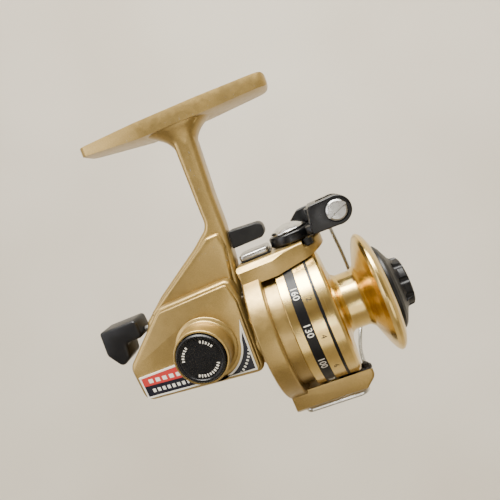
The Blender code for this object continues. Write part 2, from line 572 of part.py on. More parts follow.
def bail():
    x = BAIL_X
    axis = pivot("bail_axis", (x, 0, 0))
    base = ring("bail_arm", "black", (22.6, 25.4), 2.9, 6.2, "Z", (x, 0, 0), 32, axis)
    neck = plate("neck", "black", [[(15.0, -6.6), (20.0, -10.0), (20.0, 4.0), (15.0, 3.6)]], (22.9, 25.2), "XY",
                 parent=axis)
    side = ([(16.4, 23.0), (20.6, 22.9)] + arc(ROLLER, 3.9, -100, 100, 16)
            + [(21.6, 30.5), (18.2, 30.4), (17.4, 29.8), (16.9, 27.0), (16.4, 25.2)])
    fork = plate("fork", "black", [side], (-10.0, 1.2), parent=axis, edge=0.5)
    tail_side = rounded([(12.2, 22.9, 0), (11.4, 27.0, 1), (14.6, 29.6, 2), (18.2, 29.8, 1), (19.0, 22.9, 0)])
    tail = plate("tail", "black", [tail_side], (5.7, 7.4), parent=axis, edge=0.4)
    bridge = block("bridge", "black", (16.6, 0.6, 23.4), (18.8, 6.6, 29.2), axis)
    slot = block("roller_slot", None, (20.2, -6.6, 20), (30, -1.8, 34), axis)
    screw_way = rod("roller_screw_way", None, (-10, 4), 1.3, "Y", (ROLLER[0], 0, ROLLER[1]), 16, axis)
    seat = rod("roller_screw_seat", None, (-12, -9.2), 3.1, "Y", (ROLLER[0], 0, ROLLER[1]), 32, axis)
    arm = combine(base, neck, fork, tail, bridge)
    bore = rod("bail_bore", None, (20, 25.6), 2.85, "Z", (x, 0, 0), SMALL, axis)
    cut(arm, slot, screw_way, seat, bore)
    wire("bail_wire", "steel", bail_route(), 0.6, parent=axis)
    lever_plan = stadium((x, 0), (16.2, 0), 3.0, 1.7, 10)
    lever = plate("lower_bail_lever", "grey", [lever_plan], (-21.3, -20.3), "XY", parent=axis)
    knuckle = turned("knuckle", "grey", [(-19.4, 0), (-19.6, 0.9), (-20.4, 1.45), (-21.2, 1.2), (-21.2, 0)], "Z",
                     (16.2, 0, 0), 16, axis)
    lever = combine(lever, knuckle)
    cut(lever, rod("lever_bore", None, (-24, -18), 1.4, "Z", (x, 0, 0), 16, axis))
    screw = turned("roller_screw", "steel", [(-10.1, 0), (-10.1, 2.4), (-9.5, 2.8), (-9.5, 1.0), (1.0, 1.0),
                                             (1.0, 0)], "Y", (ROLLER[0], 0, ROLLER[1]), SMALL, axis)
    cut(screw, block("roller_screw_slot", None, (ROLLER[0] - 4, -11, ROLLER[1] - 0.35),
                     (ROLLER[0] + 4, -9.75, ROLLER[1] + 0.35), axis))
    spin = pivot("roller_axis", (ROLLER[0], 0, ROLLER[1]))
    turned("line_roller", "steel", [(-6.2, 1.3), (-6.2, 3.0), (-5.0, 2.3), (-3.4, 2.3), (-2.2, 3.0), (-2.2, 1.3)],
           "Y", (ROLLER[0], 0, ROLLER[1]), SMALL, spin)


# --- shaft, spool and drag ---------------------------------------------------------------------------
def shaft():
    turned("main_shaft", "steel", [(34.0, 0), (34.0, 1.3), (24.0, 1.3), (24.0, SHAFT_R), (-40.6, SHAFT_R),
                                   (-40.6, 0)])
    slot_x = OSCILLATION[0] - STROKE / 2
    slider = block("crosshead", "brass", (slot_x - 2.8, -3.0, -2.6), (slot_x + 2.8, 2.6, 9.4))
    slotted = block("crosshead_plate", "brass", (slot_x - 2.8, -5.1, -1.6), (slot_x + 2.8, -2.4, 10.6))
    way = plate("pin_way", None, [stadium((slot_x, 1.7), (slot_x, 8.5), 1.4, 1.39, 8)], (-6, -3.4))
    slider = combine(slider, slotted)
    cut(slider, way, rod("shaft_way", None, (-60, 0), 1.9), rod("guide_way", None, (-60, 0), 1.2, at=(0, 0, 7.6)),
        rod("screw_way", None, (-4, -0.5), 0.9, "Z", (slot_x, 1.4, -1.0), 16))
    rod("crosshead_screw", "steel", (-2.5, -2.0), 0.55, "Z", (slot_x, 1.4, 0), 12)
    ring("spool_washer", "felt", (16.6, 17.2), 1.9, 4.2)


def spool():
    turned("spool", "gold", [
        (2.7, 17.9), (2.7, 18.6), (2.9, SKIRT_R), (14.2, SKIRT_R), (14.8, 18.4), (15.2, 17.6), (15.6, 15.0),
        (16.1, 10.5), (16.6, 8.8), (17.4, 8.2), (22.2, 8.2), (22.9, 8.7), (25.2, 14.8), (26.2, 16.6), (26.8, 17.3),
        (27.5, 17.2), (28.4, 16.4), (29.2, 14.6), (29.2, 13.2), (28.6, 12.6), (28.6, 11.6), (24.4, 11.6),
        (24.4, 1.9), (18.2, 1.9), (18.2, 5.6), (21.2, 6.2), (21.2, 7.2), (16.6, 7.2), (15.2, 8.6), (14.4, 14.2),
        (13.9, 17.2), (13.2, 17.9)], steps=ROUND)


def drag():
    for i, (name, look) in enumerate((("drag_felt_1", "felt"), ("drag_disc_1", "steel"), ("drag_felt_2", "felt"))):
        ring(name, look, (24.7 + 0.9 * i, 25.3 + 0.9 * i), 1.8, 10.6)
    turned("drag_clip", "steel", [(27.6, 9.8), (27.6, 11.3), (28.0, 11.3), (28.0, 9.8)], steps=32)
    turned("drag_knob", "black", [
        (35.4, 0), (35.4, 6.2), (35.0, 6.8), (33.4, 7.0), (32.8, 7.6), (31.2, 11.2), (30.4, 12.2), (29.5, 12.2),
        (29.5, 8.4), (28.4, 8.2), (28.4, 4.6), (32.2, 4.6), (32.2, 1.6), (34.3, 1.6), (34.3, 0)], steps=ROUND)
    coil = [(27.6 + 3.6 * i / 30, 3.4 * math.cos(2 * math.pi * i / 10), 3.4 * math.sin(2 * math.pi * i / 10))
            for i in range(31)]
    wire("drag_spring", "steel", coil, 0.35)


# --- anti-reverse ------------------------------------------------------------------------------------
def anti_reverse():
    """Lever at the back, its rod through the housing, and the pawl that it drops on the ratchet."""
    axis = pivot("lever_axis", (0, 0, ROD_Z))
    side = rounded([(-54.0, 18.7, 0.9), (-41.7, 18.7, 1.2), (-41.7, 12.8, 1.2), (-47.2, 12.8, 1.2),
                    (-48.0, 8.4, 1.6), (-51.5, 6.2, 1.6), (-54.8, 11.2, 2.5)])
    plate("anti_reverse_lever", "black", [side], (-4.2, 4.2), parent=axis, edge=0.8)
    bar = rod("anti_reverse_rod", "steel", (-41.3, 2.8), 1.1, at=(0, 0, ROD_Z), steps=16, parent=axis)
    lean = math.radians(FINGER_ANGLE)
    finger = rod("rod_finger", "steel", (0.0, FINGER_LENGTH), 0.55, "Z", (2.1, 0, ROD_Z), 12, axis)
    finger.rotation_euler = (lean - math.pi / 2, 0, 0)
    combine(bar, finger)
    swing = pivot("pawl_axis", (0, *PAWL))
    outline = stadium(PAWL, PAWL_TIP, 2.0, 0.6, 10)
    plate("pawl", "steel", [outline, arc(PAWL, 1.3, 0, 330, 11)], (1.4, 2.8), "YZ", parent=swing)


for item in list(bpy.data.objects):
    bpy.data.objects.remove(item)
reel = collection("spinning_reel")
cutters = collection("cutters")
frame = bpy.data.objects.new("shaft_frame", None)
reel.objects.link(frame)
frame.location = (-FOOT_CENTRE[0] * MM, 0, -FOOT_CENTRE[1] * MM)

reel_body()
side_cover()
label_plate()
fixed_fittings()
crank()
oscillation()
rotor()
rotor_fittings()
bail()
shaft()
spool()
drag()
anti_reverse()
bpy.context.view_layer.update()
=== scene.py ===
"""Looks of the small gold fixed-spool reel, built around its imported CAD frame.

Lengths here are in millimetres from the main shaft's axis: +X forward along the shaft, +Y to the
crank, +Z up to the foot.  spot() turns them into the frame's metres.
"""
import json
import math

import bpy
from mathutils import Matrix, Vector


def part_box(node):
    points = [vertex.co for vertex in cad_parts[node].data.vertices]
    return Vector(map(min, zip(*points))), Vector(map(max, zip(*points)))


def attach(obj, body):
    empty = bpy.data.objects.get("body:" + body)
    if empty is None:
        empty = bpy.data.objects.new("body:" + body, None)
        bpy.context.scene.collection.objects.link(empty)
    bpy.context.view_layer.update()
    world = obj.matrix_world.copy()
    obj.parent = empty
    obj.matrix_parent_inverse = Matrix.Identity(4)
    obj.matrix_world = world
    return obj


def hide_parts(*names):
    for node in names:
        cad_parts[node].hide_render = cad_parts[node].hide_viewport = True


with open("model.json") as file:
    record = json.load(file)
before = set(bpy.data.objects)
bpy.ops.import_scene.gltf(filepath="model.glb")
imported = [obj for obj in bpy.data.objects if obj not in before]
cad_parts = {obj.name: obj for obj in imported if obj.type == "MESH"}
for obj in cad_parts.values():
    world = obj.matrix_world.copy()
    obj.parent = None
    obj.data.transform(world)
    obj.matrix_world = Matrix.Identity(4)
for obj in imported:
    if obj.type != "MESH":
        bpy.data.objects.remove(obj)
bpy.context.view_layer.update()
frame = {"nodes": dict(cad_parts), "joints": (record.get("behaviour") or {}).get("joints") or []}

MM = 0.001
JOINTS = {joint["name"]: joint for joint in frame["joints"]}
SHAFT = Vector(JOINTS["rotor_spin"]["pos_m"])      # a point on the main shaft's axis
ROUND = 96                                        # steps round a large turned piece
FINE = 48                                         # steps round a small one

# --- places and sizes, from the shaft's axis ------------------------------------------------------
DRIVE = (-22.3, 5.1)           # x, z of the crank's axis
ROLLER = (24.2, 26.7)          # x, z of the line roller
BAIL_X = 10.5                  # the bail swings about a vertical axis here
FOOT_CENTRE = (-7.4, 68.3)     # x, z of the middle of the foot's top
FOOT_LENGTH = 55.8
FOOT_TILT = 2.7                # degrees, front end down
PANEL_Y = -10.4                # face of the raised panel on the near side
HOUSING_Y = (-9.4, 8.6)        # near and far faces of the housing
SKIRT_R = 18.8                 # radius of the spool's skirt
ARM_TOP, ARM_BOTTOM = 22.2, -22.9
CRANK_LENGTH, CRANK_ANGLE = 39.0, -24.0
COVER_HOLE_R = 1.15            # clearance round a cover screw
INK_BANDS = ((5.1, 7.8), (11.0, 11.8))      # x of the black bands printed on the skirt
EYE, TARGET = (15.84, -110.97, 37.65), (-1.93, 0, 24.46)
VIEW_ROLL = 23.354             # degrees
LENS, SENSOR = 28.125144, 36
BOWL_R = 700
BOWL_TOP = 0.62                # metres above the shaft, where the bowl is open
HOUSING = [(-46.4, -4.5, 3.0), (-9.6, -7.6, 2.5), (-8.2, 14.2, 3.0), (-9.4, 20.6, 2.0),
           (-31.6, 20.0, 4.0), (-46.6, 6.8, 4.0)]
# the neck under the foot: height below its top, centre x, half x, half y
NECK = [(-13.0, 1.30, 3.05, 3.8), (-11.0, 1.25, 3.15, 3.8), (-9.6, 1.15, 3.40, 3.9),
        (-8.4, 1.05, 3.90, 4.1), (-7.3, 1.00, 4.70, 4.4), (-6.3, 0.90, 5.80, 4.8),
        (-5.4, 0.85, 7.10, 5.2), (-4.6, 0.80, 8.60, 5.6), (-3.8, 0.80, 9.80, 5.8),
        (-2.6, 0.80, 10.20, 5.8)]
COVER_SCREWS = [(-43.0, -1.6), (-11.9, -4.6), (-33.0, 15.6)]


def spot(x, y, z):
    """A place given from the shaft's axis in millimetres, in the frame's metres."""
    return SHAFT + Vector((x, y, z)) * MM


# --- outlines -------------------------------------------------------------------------------------
def eased(corners, steps=6, closed=True):
    """An outline or profile whose (x, y, radius) corners are rounded; (x, y) ones stay sharp."""
    points = []
    count = len(corners)
    for i, corner in enumerate(corners):
        here = Vector(corner[:2])
        radius = corner[2] if len(corner) > 2 else 0
        if radius == 0 or (not closed and i in (0, count - 1)):
            points.append(tuple(here))
            continue
        back = (Vector(corners[i - 1][:2]) - here).normalized()
        ahead = (Vector(corners[(i + 1) % count][:2]) - here).normalized()
        half = back.angle(ahead) / 2
        centre = here + (back + ahead).normalized() * (radius / math.sin(half))
        first = here + back * (radius / math.tan(half)) - centre
        last = here + ahead * (radius / math.tan(half)) - centre
        turn = first.angle_signed(last)
        for step in range(steps + 1):
            points.append(tuple(centre + Matrix.Rotation(-turn * step / steps, 2) @ first))
    return points


def arc(centre, radius, start, end, steps):
    """Points on an arc between two angles in degrees."""
    angles = [math.radians(start + (end - start) * i / steps) for i in range(steps + 1)]
    return [(centre[0] + radius * math.cos(a), centre[1] + radius * math.sin(a)) for a in angles]


def stadium(first, last, first_r, last_r, steps=24):
    """Two round ends joined by straight sides."""
    run = Vector(last) - Vector(first)
    heading = math.degrees(math.atan2(run.y, run.x))
    lean = math.degrees(math.acos((first_r - last_r) / run.length))
    return (arc(first, first_r, heading + lean, heading + 360 - lean, steps)
            + arc(last, last_r, heading - lean, heading + lean, steps))


def inset(corners, by):
    """An outline's corners moved inwards."""
    moved = []
    for i, (x, y, radius) in enumerate(corners):
        here = Vector((x, y))
        back = (here - Vector(corners[i - 1][:2])).normalized()
        ahead = (Vector(corners[(i + 1) % len(corners)][:2]) - here).normalized()
        half = (math.pi - back.angle(ahead)) / 2
        spot_in = here + (ahead - back).normalized() * (by / math.sin(half))
        moved.append((spot_in.x, spot_in.y, max(radius - by, 0.4)))
    return moved


# --- modelling ------------------------------------------------------------------------------------
TURN_TO = {"X": Matrix.Rotation(math.radians(90), 4, "Y"), "Y": Matrix.Rotation(math.radians(-90), 4, "X"),
           "Z": Matrix.Identity(4)}
FLAT_IN = {"XY": Matrix.Identity(4), "XZ": Matrix.Rotation(math.radians(90), 4, "X"),
           "YZ": Matrix(((0, 0, 1, 0), (1, 0, 0, 0), (0, 1, 0, 0), (0, 0, 0, 1)))}


def only(piece):
    """Select one piece alone."""
    bpy.ops.object.select_all(action="DESELECT")
    piece.select_set(True)
    bpy.context.view_layer.objects.active = piece
    return piece


def edit(select="SELECT"):
    """Enter edit mode on vertices, with all or nothing selected."""
    bpy.ops.object.mode_set(mode="EDIT")
    bpy.ops.mesh.select_mode(type="VERT")
    bpy.ops.mesh.select_all(action=select)


def close_edit():
    """Merge seams, turn the faces outwards and leave edit mode."""
    bpy.ops.mesh.select_all(action="SELECT")
    bpy.ops.mesh.remove_doubles(threshold=0.000002)
    bpy.ops.mesh.normals_make_consistent(inside=False)
    bpy.ops.object.mode_set(mode="OBJECT")


def settle(piece, turn, place):
    """Turn a piece made round its own origin and put it in place, with the place in its mesh."""
    only(piece)
    piece.matrix_world = Matrix.Translation(place) @ turn
    bpy.ops.object.transform_apply(location=True, rotation=True, scale=True)
    return piece


def turned(name, profile, axis="X", centre=(0, 0, 0), steps=ROUND):
    """A turned piece: a circle extruded and resized along (place, radius, fillet) points.

    A profile that starts and ends at radius 0 closes on its axis; any other one is a ring.
    """
    solid = profile[0][1] == 0
    rings = eased(profile, closed=not solid)
    rings = rings[1:-1] if solid else rings + rings[:1]
    bpy.ops.object.select_all(action="DESELECT")
    bpy.ops.mesh.primitive_circle_add(vertices=steps, radius=rings[0][1] * MM, location=(0, 0, 0))
    piece = bpy.context.object
    piece.name = name
    edit()
    bpy.ops.transform.translate(value=(0, 0, rings[0][0] * MM))
    for (along, radius), (next_along, next_radius) in zip(rings, rings[1:]):
        bpy.ops.mesh.extrude_region_move(
            TRANSFORM_OT_translate={"value": (0, 0, (next_along - along) * MM)})
        share = next_radius / radius
        bpy.ops.transform.resize(value=(share, share, 1), center_override=(0, 0, next_along * MM))
    if solid:
        bpy.ops.mesh.edge_face_add()
        bpy.ops.mesh.select_all(action="DESELECT")
        bpy.ops.mesh.select_mode(type="EDGE")
        bpy.ops.mesh.select_non_manifold()
        bpy.ops.mesh.edge_face_add()
    close_edit()
    return settle(piece, TURN_TO[axis], spot(*centre))


def flared(name, rings, squareness=2.6, steps=FINE):
    """A neck of rounded squares: (height, centre x, half x, half y) rings, extruded and resized."""
    height, middle, half_x, half_y = rings[0]
    bpy.ops.object.select_all(action="DESELECT")
    bpy.ops.mesh.primitive_circle_add(vertices=steps, radius=MM, fill_type="NGON", location=(0, 0, 0))
    piece = bpy.context.object
    piece.name = name
    for vertex in piece.data.vertices:
        u, v = vertex.co.x / MM, vertex.co.y / MM
        u, v = [math.copysign(abs(c) ** (2 / squareness), c) for c in (u, v)]
        vertex.co = ((middle + u * half_x) * MM, v * half_y * MM, height * MM)
    edit()
    for (low, old, wide, deep), (high, new, wider, deeper) in zip(rings, rings[1:]):
        bpy.ops.mesh.extrude_region_move(
            TRANSFORM_OT_translate={"value": ((new - old) * MM, 0, (high - low) * MM)})
        bpy.ops.transform.resize(value=(wider / wide, deeper / deep, 1),
                                 center_override=(new * MM, 0, high * MM))
    close_edit()
    return piece


def moved(piece, turn, place):
    """Turn a piece that was made at the shaft's own place, and put it at another one."""
    piece.data.transform(Matrix.Translation(-SHAFT))
    return settle(piece, turn, place)


def bore(name, start, end, radius, axis="X", centre=(0, 0, 0), steps=FINE):
    """A plain round tool, to cut a hole with."""
    return turned(name, [(start, 0), (start, radius), (end, radius), (end, 0)], axis, centre, steps)


def slab(name, outline, span, plane="XZ", edge=0.0, centre=(0, 0, 0), bevel_steps=3):
    """A flat piece: an outline extruded between two levels, with its rims bevelled."""
    low, high = (-span[1], -span[0]) if plane == "XZ" else span
    bpy.ops.object.select_all(action="DESELECT")
    bpy.ops.mesh.primitive_circle_add(vertices=len(outline), radius=MM, fill_type="NGON",
                                      location=(0, 0, 0))
    piece = bpy.context.object
    piece.name = name
    for vertex, (u, v) in zip(piece.data.vertices, outline):
        vertex.co = (u * MM, v * MM, low * MM)
    edit()
    bpy.ops.mesh.extrude_region_move(TRANSFORM_OT_translate={"value": (0, 0, (high - low) * MM)})
    close_edit()
    if edge:
        soften(piece, edge, bevel_steps)
    return settle(piece, FLAT_IN[plane], spot(*centre))


def block(name, low, high, edge=0.0):
    """A box between two corners."""
    return slab(name, [(low[0], low[1]), (high[0], low[1]), (high[0], high[1]), (low[0], high[1])],
                (low[2], high[2]), "XY", edge)


def apply(piece, kind, **settings):
    """Add a modifier and apply it."""
    only(piece)
    modifier = piece.modifiers.new(kind.title(), kind)
    for key, value in settings.items():
        setattr(modifier, key, value)
    bpy.ops.object.modifier_apply(modifier=modifier.name)
    return piece


def soften(piece, width, steps=3, angle=40):
    """Round a piece's sharp edges."""
    return apply(piece, "BEVEL", width=width * MM, segments=steps, limit_method="ANGLE",
                 angle_limit=math.radians(angle), use_clamp_overlap=True)


def shape_with(base, operation, *tools):
    """Shape a piece with others, which are used up."""
    for tool in tools:
        apply(base, "BOOLEAN", operation=operation, object=tool, solver="EXACT")
        bpy.data.objects.remove(tool)
    return base


def union(base, *tools):
    """Weld pieces on."""
    return shape_with(base, "UNION", *tools)


def cut(base, *tools):
    """Cut pieces out."""
    return shape_with(base, "DIFFERENCE", *tools)


def gather(name, *parts):
    """Join loose parts into one piece."""
    bpy.ops.object.select_all(action="DESELECT")
    for part in parts:
        part.select_set(True)
    bpy.context.view_layer.objects.active = parts[0]
    bpy.ops.object.join()
    parts[0].name = name
    return parts[0]


def finished(piece, material, body, replaced=(), angle=32):
    """Smooth a piece, give it its material and put it on its body."""
    only(piece)
    bpy.ops.object.shade_smooth_by_angle(angle=math.radians(angle))
    if not piece.data.materials:
        piece.data.materials.append(material)
    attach(piece, body)
    if replaced:
        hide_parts(*replaced)
    return piece


# --- materials ------------------------------------------------------------------------------------
def colour(code):
    """An sRGB hex value as linear RGBA."""
    parts = [int(code[i:i + 2], 16) / 255 for i in (0, 2, 4)]
    return (*[c / 12.92 if c <= 0.04045 else ((c + 0.055) / 1.055) ** 2.4 for c in parts], 1)


def add(tree, kind, inputs=None, **settings):
    """Add a node: an input is a value, or the node or socket that feeds it."""
    made = tree.nodes.new("ShaderNode" + kind)
    for key, value in settings.items():
        setattr(made, key, value)
    for key, value in (inputs or {}).items():
        if isinstance(value, bpy.types.Node):
            value = value.outputs[0]
        if isinstance(value, bpy.types.NodeSocket):
            tree.links.new(value, made.inputs[key])
        else:
            made.inputs[key].default_value = value
    return made


def start_material(name, **constants):
    """A Principled material with its constant sockets set, and the piece's own coordinates."""
    material = bpy.data.materials.new(name)
    material.use_nodes = True
    tree = material.node_tree
    shader = tree.nodes["Principled BSDF"]
    for key, value in constants.items():
        shader.inputs[key.replace("_", " ")].default_value = value
    place = add(tree, "TexCoord").outputs["Object"]
    return material, tree, shader, place


def grain(tree, place, size, detail=3.0, roughness=0.5):
    """Noise whose blobs are size millimetres across."""
    return add(tree, "TexNoise", {"Vector": place, "Scale": 1 / (size * MM), "Detail": detail,
                                  "Roughness": roughness})


def spread(tree, value, low, high, to_low, to_high):
    """A value's range stretched on to another one."""
    return add(tree, "MapRange", {"Value": value, "From Min": low, "From Max": high, "To Min": to_low,
                                  "To Max": to_high})


def blend(tree, share, first, second):
    """Mix two colours by a share."""
    return add(tree, "Mix", {0: share, 6: first, 7: second}, data_type="RGBA").outputs[2]


def calc(tree, operation, *values):
    """One step of arithmetic."""
    return add(tree, "Math", dict(enumerate(values)), operation=operation)


def product(tree, *shares):
    """Shares multiplied together."""
    whole = shares[0]
    for share in shares[1:]:
        whole = calc(tree, "MULTIPLY", whole, share)
    return whole


def length(tree, first, second):
    """The length of two sides at right angles."""
    return calc(tree, "SQRT", calc(tree, "ADD", calc(tree, "MULTIPLY", first, first),
                                   calc(tree, "MULTIPLY", second, second)))


def relief(tree, shader, height, depth, strength=1.0):
    """Bump of a real depth in millimetres."""
    bump = add(tree, "Bump", {"Height": height, "Distance": depth * MM, "Strength": strength})
    tree.links.new(bump.outputs[0], shader.inputs["Normal"])


def feed(tree, shader, **links):
    """Link nodes to the shader's named sockets."""
    for key, node in links.items():
        socket = node.outputs[0] if isinstance(node, bpy.types.Node) else node
        tree.links.new(socket, shader.inputs[key.replace("_", " ")])


def axes_of(tree, place):
    """The x, y and z of a place."""
    return add(tree, "SeparateXYZ", {0: place}).outputs


def from_shaft(tree, place):
    """A place measured from the shaft's axis."""
    return add(tree, "VectorMath", {0: place, 1: -SHAFT}, operation="ADD")


def cast_aluminium_in_gold_lacquer():
    """Die-cast aluminium under sprayed gold lacquer: a satin coat with fine metal flake in it,
    faint orange peel, dull patches where it is handled and a little bare metal at the foot's rear end."""
    material, tree, shader, place = start_material("cast_aluminium_gold_lacquer", Metallic=0.8,
                                                   Coat_Weight=0.2, Coat_Roughness=0.3)
    flake = add(tree, "TexVoronoi", {"Vector": place, "Scale": 1 / (0.2 * MM)})
    flake_share = spread(tree, add(tree, "SeparateColor", {0: flake.outputs["Color"]}).outputs[0],
                         0, 1, 0.25, 0.75)
    base = blend(tree, flake_share, colour("8F7843"), colour("B29558"))
    cloud = spread(tree, grain(tree, place, 14), 0.35, 0.7, 0.0, 0.5)
    base = blend(tree, cloud, base, colour("8C7647"))
    grime = spread(tree, grain(tree, place, 2.6, 5, 0.65), 0.62, 0.76, 0.0, 0.3)
    base = blend(tree, grime, base, colour("5E4E2C"))
    edges = spread(tree, add(tree, "NewGeometry").outputs["Pointiness"], 0.56, 0.64, 0, 1)
    chips = spread(tree, grain(tree, place, 1.1, 4, 0.7), 0.64, 0.67, 0, 0.7)
    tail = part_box("reel_body")
    worn = Vector((tail[0].x + 0.004, -0.002, tail[1].z - 0.0025))
    away = add(tree, "VectorMath", {0: place, 1: worn}, operation="DISTANCE")
    near_tail = spread(tree, away.outputs["Value"], 0.0015, 0.0045, 1, 0)
    rub = calc(tree, "MULTIPLY", near_tail, spread(tree, grain(tree, place, 1.6, 4), 0.50, 0.55, 0, 1))
    bare = calc(tree, "MAXIMUM", calc(tree, "MULTIPLY", edges, chips), rub)
    base = blend(tree, bare, base, colour("A9A9AB"))
    rough = spread(tree, grain(tree, place, 1.6, 4), 0.3, 0.7, 0.30, 0.40)
    feed(tree, shader, Base_Color=base, Roughness=rough)
    peel = grain(tree, place, 0.9, 2)
    relief(tree, shader, calc(tree, "SUBTRACT", peel, calc(tree, "MULTIPLY", bare, 0.8)), 0.02, 0.4)
    return material


def turned_gold_anodised_aluminium():
    """Turned aluminium, polished and anodised gold: mirror bright, with faint turning rings,
    and on the skirt the printed black bands that the numbers stand on."""
    material, tree, shader, place = start_material("turned_aluminium_gold_printed", Metallic=1.0,
                                                   Coat_Weight=0.04, Coat_Roughness=0.08,
                                                   Specular_IOR_Level=0.22)
    away = from_shaft(tree, place)
    x, y, z = axes_of(tree, away)
    radius = length(tree, y, z)
    lathe = add(tree, "CombineXYZ", {0: calc(tree, "ADD", x, radius)})
    rings = grain(tree, lathe.outputs[0], 0.16, 4, 0.7)
    stain = spread(tree, grain(tree, place, 5, 5, 0.6), 0.45, 0.75, 0, 0.55)
    base = blend(tree, stain, colour("DCC07A"), colour("B3924C"))
    speck = spread(tree, grain(tree, place, 0.7, 4, 0.7), 0.68, 0.74, 0, 0.7)
    base = blend(tree, speck, base, colour("6A5428"))
    rough = spread(tree, rings, 0.3, 0.7, 0.17, 0.30)
    ink = None
    for start, end in INK_BANDS:
        inside = calc(tree, "MULTIPLY", calc(tree, "GREATER_THAN", x, start * MM),
                      calc(tree, "LESS_THAN", x, end * MM))
        ink = inside if ink is None else calc(tree, "ADD", ink, inside)
    ink = calc(tree, "MULTIPLY", ink, calc(tree, "GREATER_THAN", radius, (SKIRT_R - 0.3) * MM))
    rubbed = spread(tree, grain(tree, place, 0.5, 5, 0.75), 0.70, 0.73, 1, 0)
    ink = calc(tree, "MULTIPLY", ink, rubbed)
    base = blend(tree, ink, base, colour("060607"))
    rough = calc(tree, "ADD", rough, calc(tree, "MULTIPLY", ink, 0.16))
    feed(tree, shader, Metallic=calc(tree, "SUBTRACT", 1.0, ink))
    feed(tree, shader, Base_Color=base, Roughness=rough)
    relief(tree, shader, rings, 0.004, 0.35)
    return material


def black_enamel(name, code, worn_code, shine):
    """Baked enamel on a metal lever: deep and satin, rubbed lighter along its edges."""
    material, tree, shader, place = start_material(name, Coat_Weight=0.1, Coat_Roughness=0.2,
                                                   Specular_IOR_Level=0.3)
    edges = spread(tree, add(tree, "NewGeometry").outputs["Pointiness"], 0.55, 0.64, 0, 0.4)
    patches = spread(tree, grain(tree, place, 1.5, 5, 0.65), 0.45, 0.65, 0, 1)
    base = blend(tree, calc(tree, "MULTIPLY", edges, patches), colour(code), colour(worn_code))
    dust = spread(tree, grain(tree, place, 0.5, 5, 0.7), 0.62, 0.76, 0, 0.07)
    base = blend(tree, dust, base, colour("6B675F"))
    rough = spread(tree, grain(tree, place, 2.2, 4), 0.3, 0.7, shine, shine + 0.14)
    feed(tree, shader, Base_Color=base, Roughness=rough)
    relief(tree, shader, grain(tree, place, 0.5, 2), 0.01, 0.4)
    return material


def moulded_abs(name, code, rough_low, texture=0.18, depth=0.01):
    """Moulded ABS: black all through, with a fine spark-eroded texture from the mould."""
    material, tree, shader, place = start_material(name, Specular_IOR_Level=0.28)
    tone = spread(tree, grain(tree, place, 6), 0.3, 0.7, 0, 1)
    base = blend(tree, tone, colour(code), colour("111113"))
    dust = spread(tree, grain(tree, place, 0.35, 4, 0.7), 0.62, 0.78, 0, 0.07)
    base = blend(tree, dust, base, colour("77736B"))
    rough = spread(tree, grain(tree, place, 0.8, 4), 0.3, 0.7, rough_low, rough_low + 0.12)
    feed(tree, shader, Base_Color=base, Roughness=rough)
    relief(tree, shader, grain(tree, place, texture, 2), depth, 0.5)
    return material


def chrome_plate(name="chrome_plate", code="D5D6D4", tarnish="8C8578", rough_low=0.10):
    """Chromium plate on brass or steel: bright, with hairline scratches and cloudy tarnish."""
    material, tree, shader, place = start_material(name, Metallic=1.0)
    hair = add(tree, "Mapping", {"Vector": place, "Rotation": (0.3, 0.5, 0.4), "Scale": (1, 14, 1)})
    hairs = grain(tree, hair.outputs[0], 1.2, 5, 0.75)
    cloud = spread(tree, grain(tree, place, 1.8, 5, 0.6), 0.48, 0.75, 0, 0.75)
    base = blend(tree, cloud, colour(code), colour(tarnish))
    rough = calc(tree, "ADD", spread(tree, hairs, 0.35, 0.7, rough_low, rough_low + 0.14),
                 calc(tree, "MULTIPLY", cloud, 0.12))
    feed(tree, shader, Base_Color=base, Roughness=rough)
    relief(tree, shader, hairs, 0.004, 0.3)
    return material


def machined_metal(name, light, dark, rough_low, mark=0.14):
    """Brass or steel as it leaves the lathe: fine tool marks and a dull film of old grease."""
    material, tree, shader, place = start_material(name, Metallic=1.0)
    marks = add(tree, "Mapping", {"Vector": place, "Scale": (1, 0.15, 0.15)})
    cuts = grain(tree, marks.outputs[0], mark, 3, 0.6)
    film = spread(tree, grain(tree, place, 1.8, 5), 0.4, 0.7, 0, 0.8)
    base = blend(tree, film, colour(light), colour(dark))
    rough = calc(tree, "ADD", spread(tree, cuts, 0.3, 0.7, rough_low, rough_low + 0.1),
                 calc(tree, "MULTIPLY", film, 0.15))
    feed(tree, shader, Base_Color=base, Roughness=rough)
    relief(tree, shader, cuts, 0.006, 0.4)
    return material


def soft_goods(name, light, dark, size, depth, rough):
    """Pressed felt, nylon or rubber: matt, with fibres or mottling of its own size."""
    material, tree, shader, place = start_material(name, Specular_IOR_Level=0.3)
    fibres = grain(tree, place, size, 6, 0.75)
    base = blend(tree, spread(tree, fibres, 0.35, 0.65, 0, 1), colour(light), colour(dark))
    haze = spread(tree, grain(tree, place, 2.5, 4), 0.35, 0.7, rough - 0.08, rough + 0.06)
    feed(tree, shader, Base_Color=base, Roughness=haze)
    relief(tree, shader, fibres, depth, 0.7)
    return material


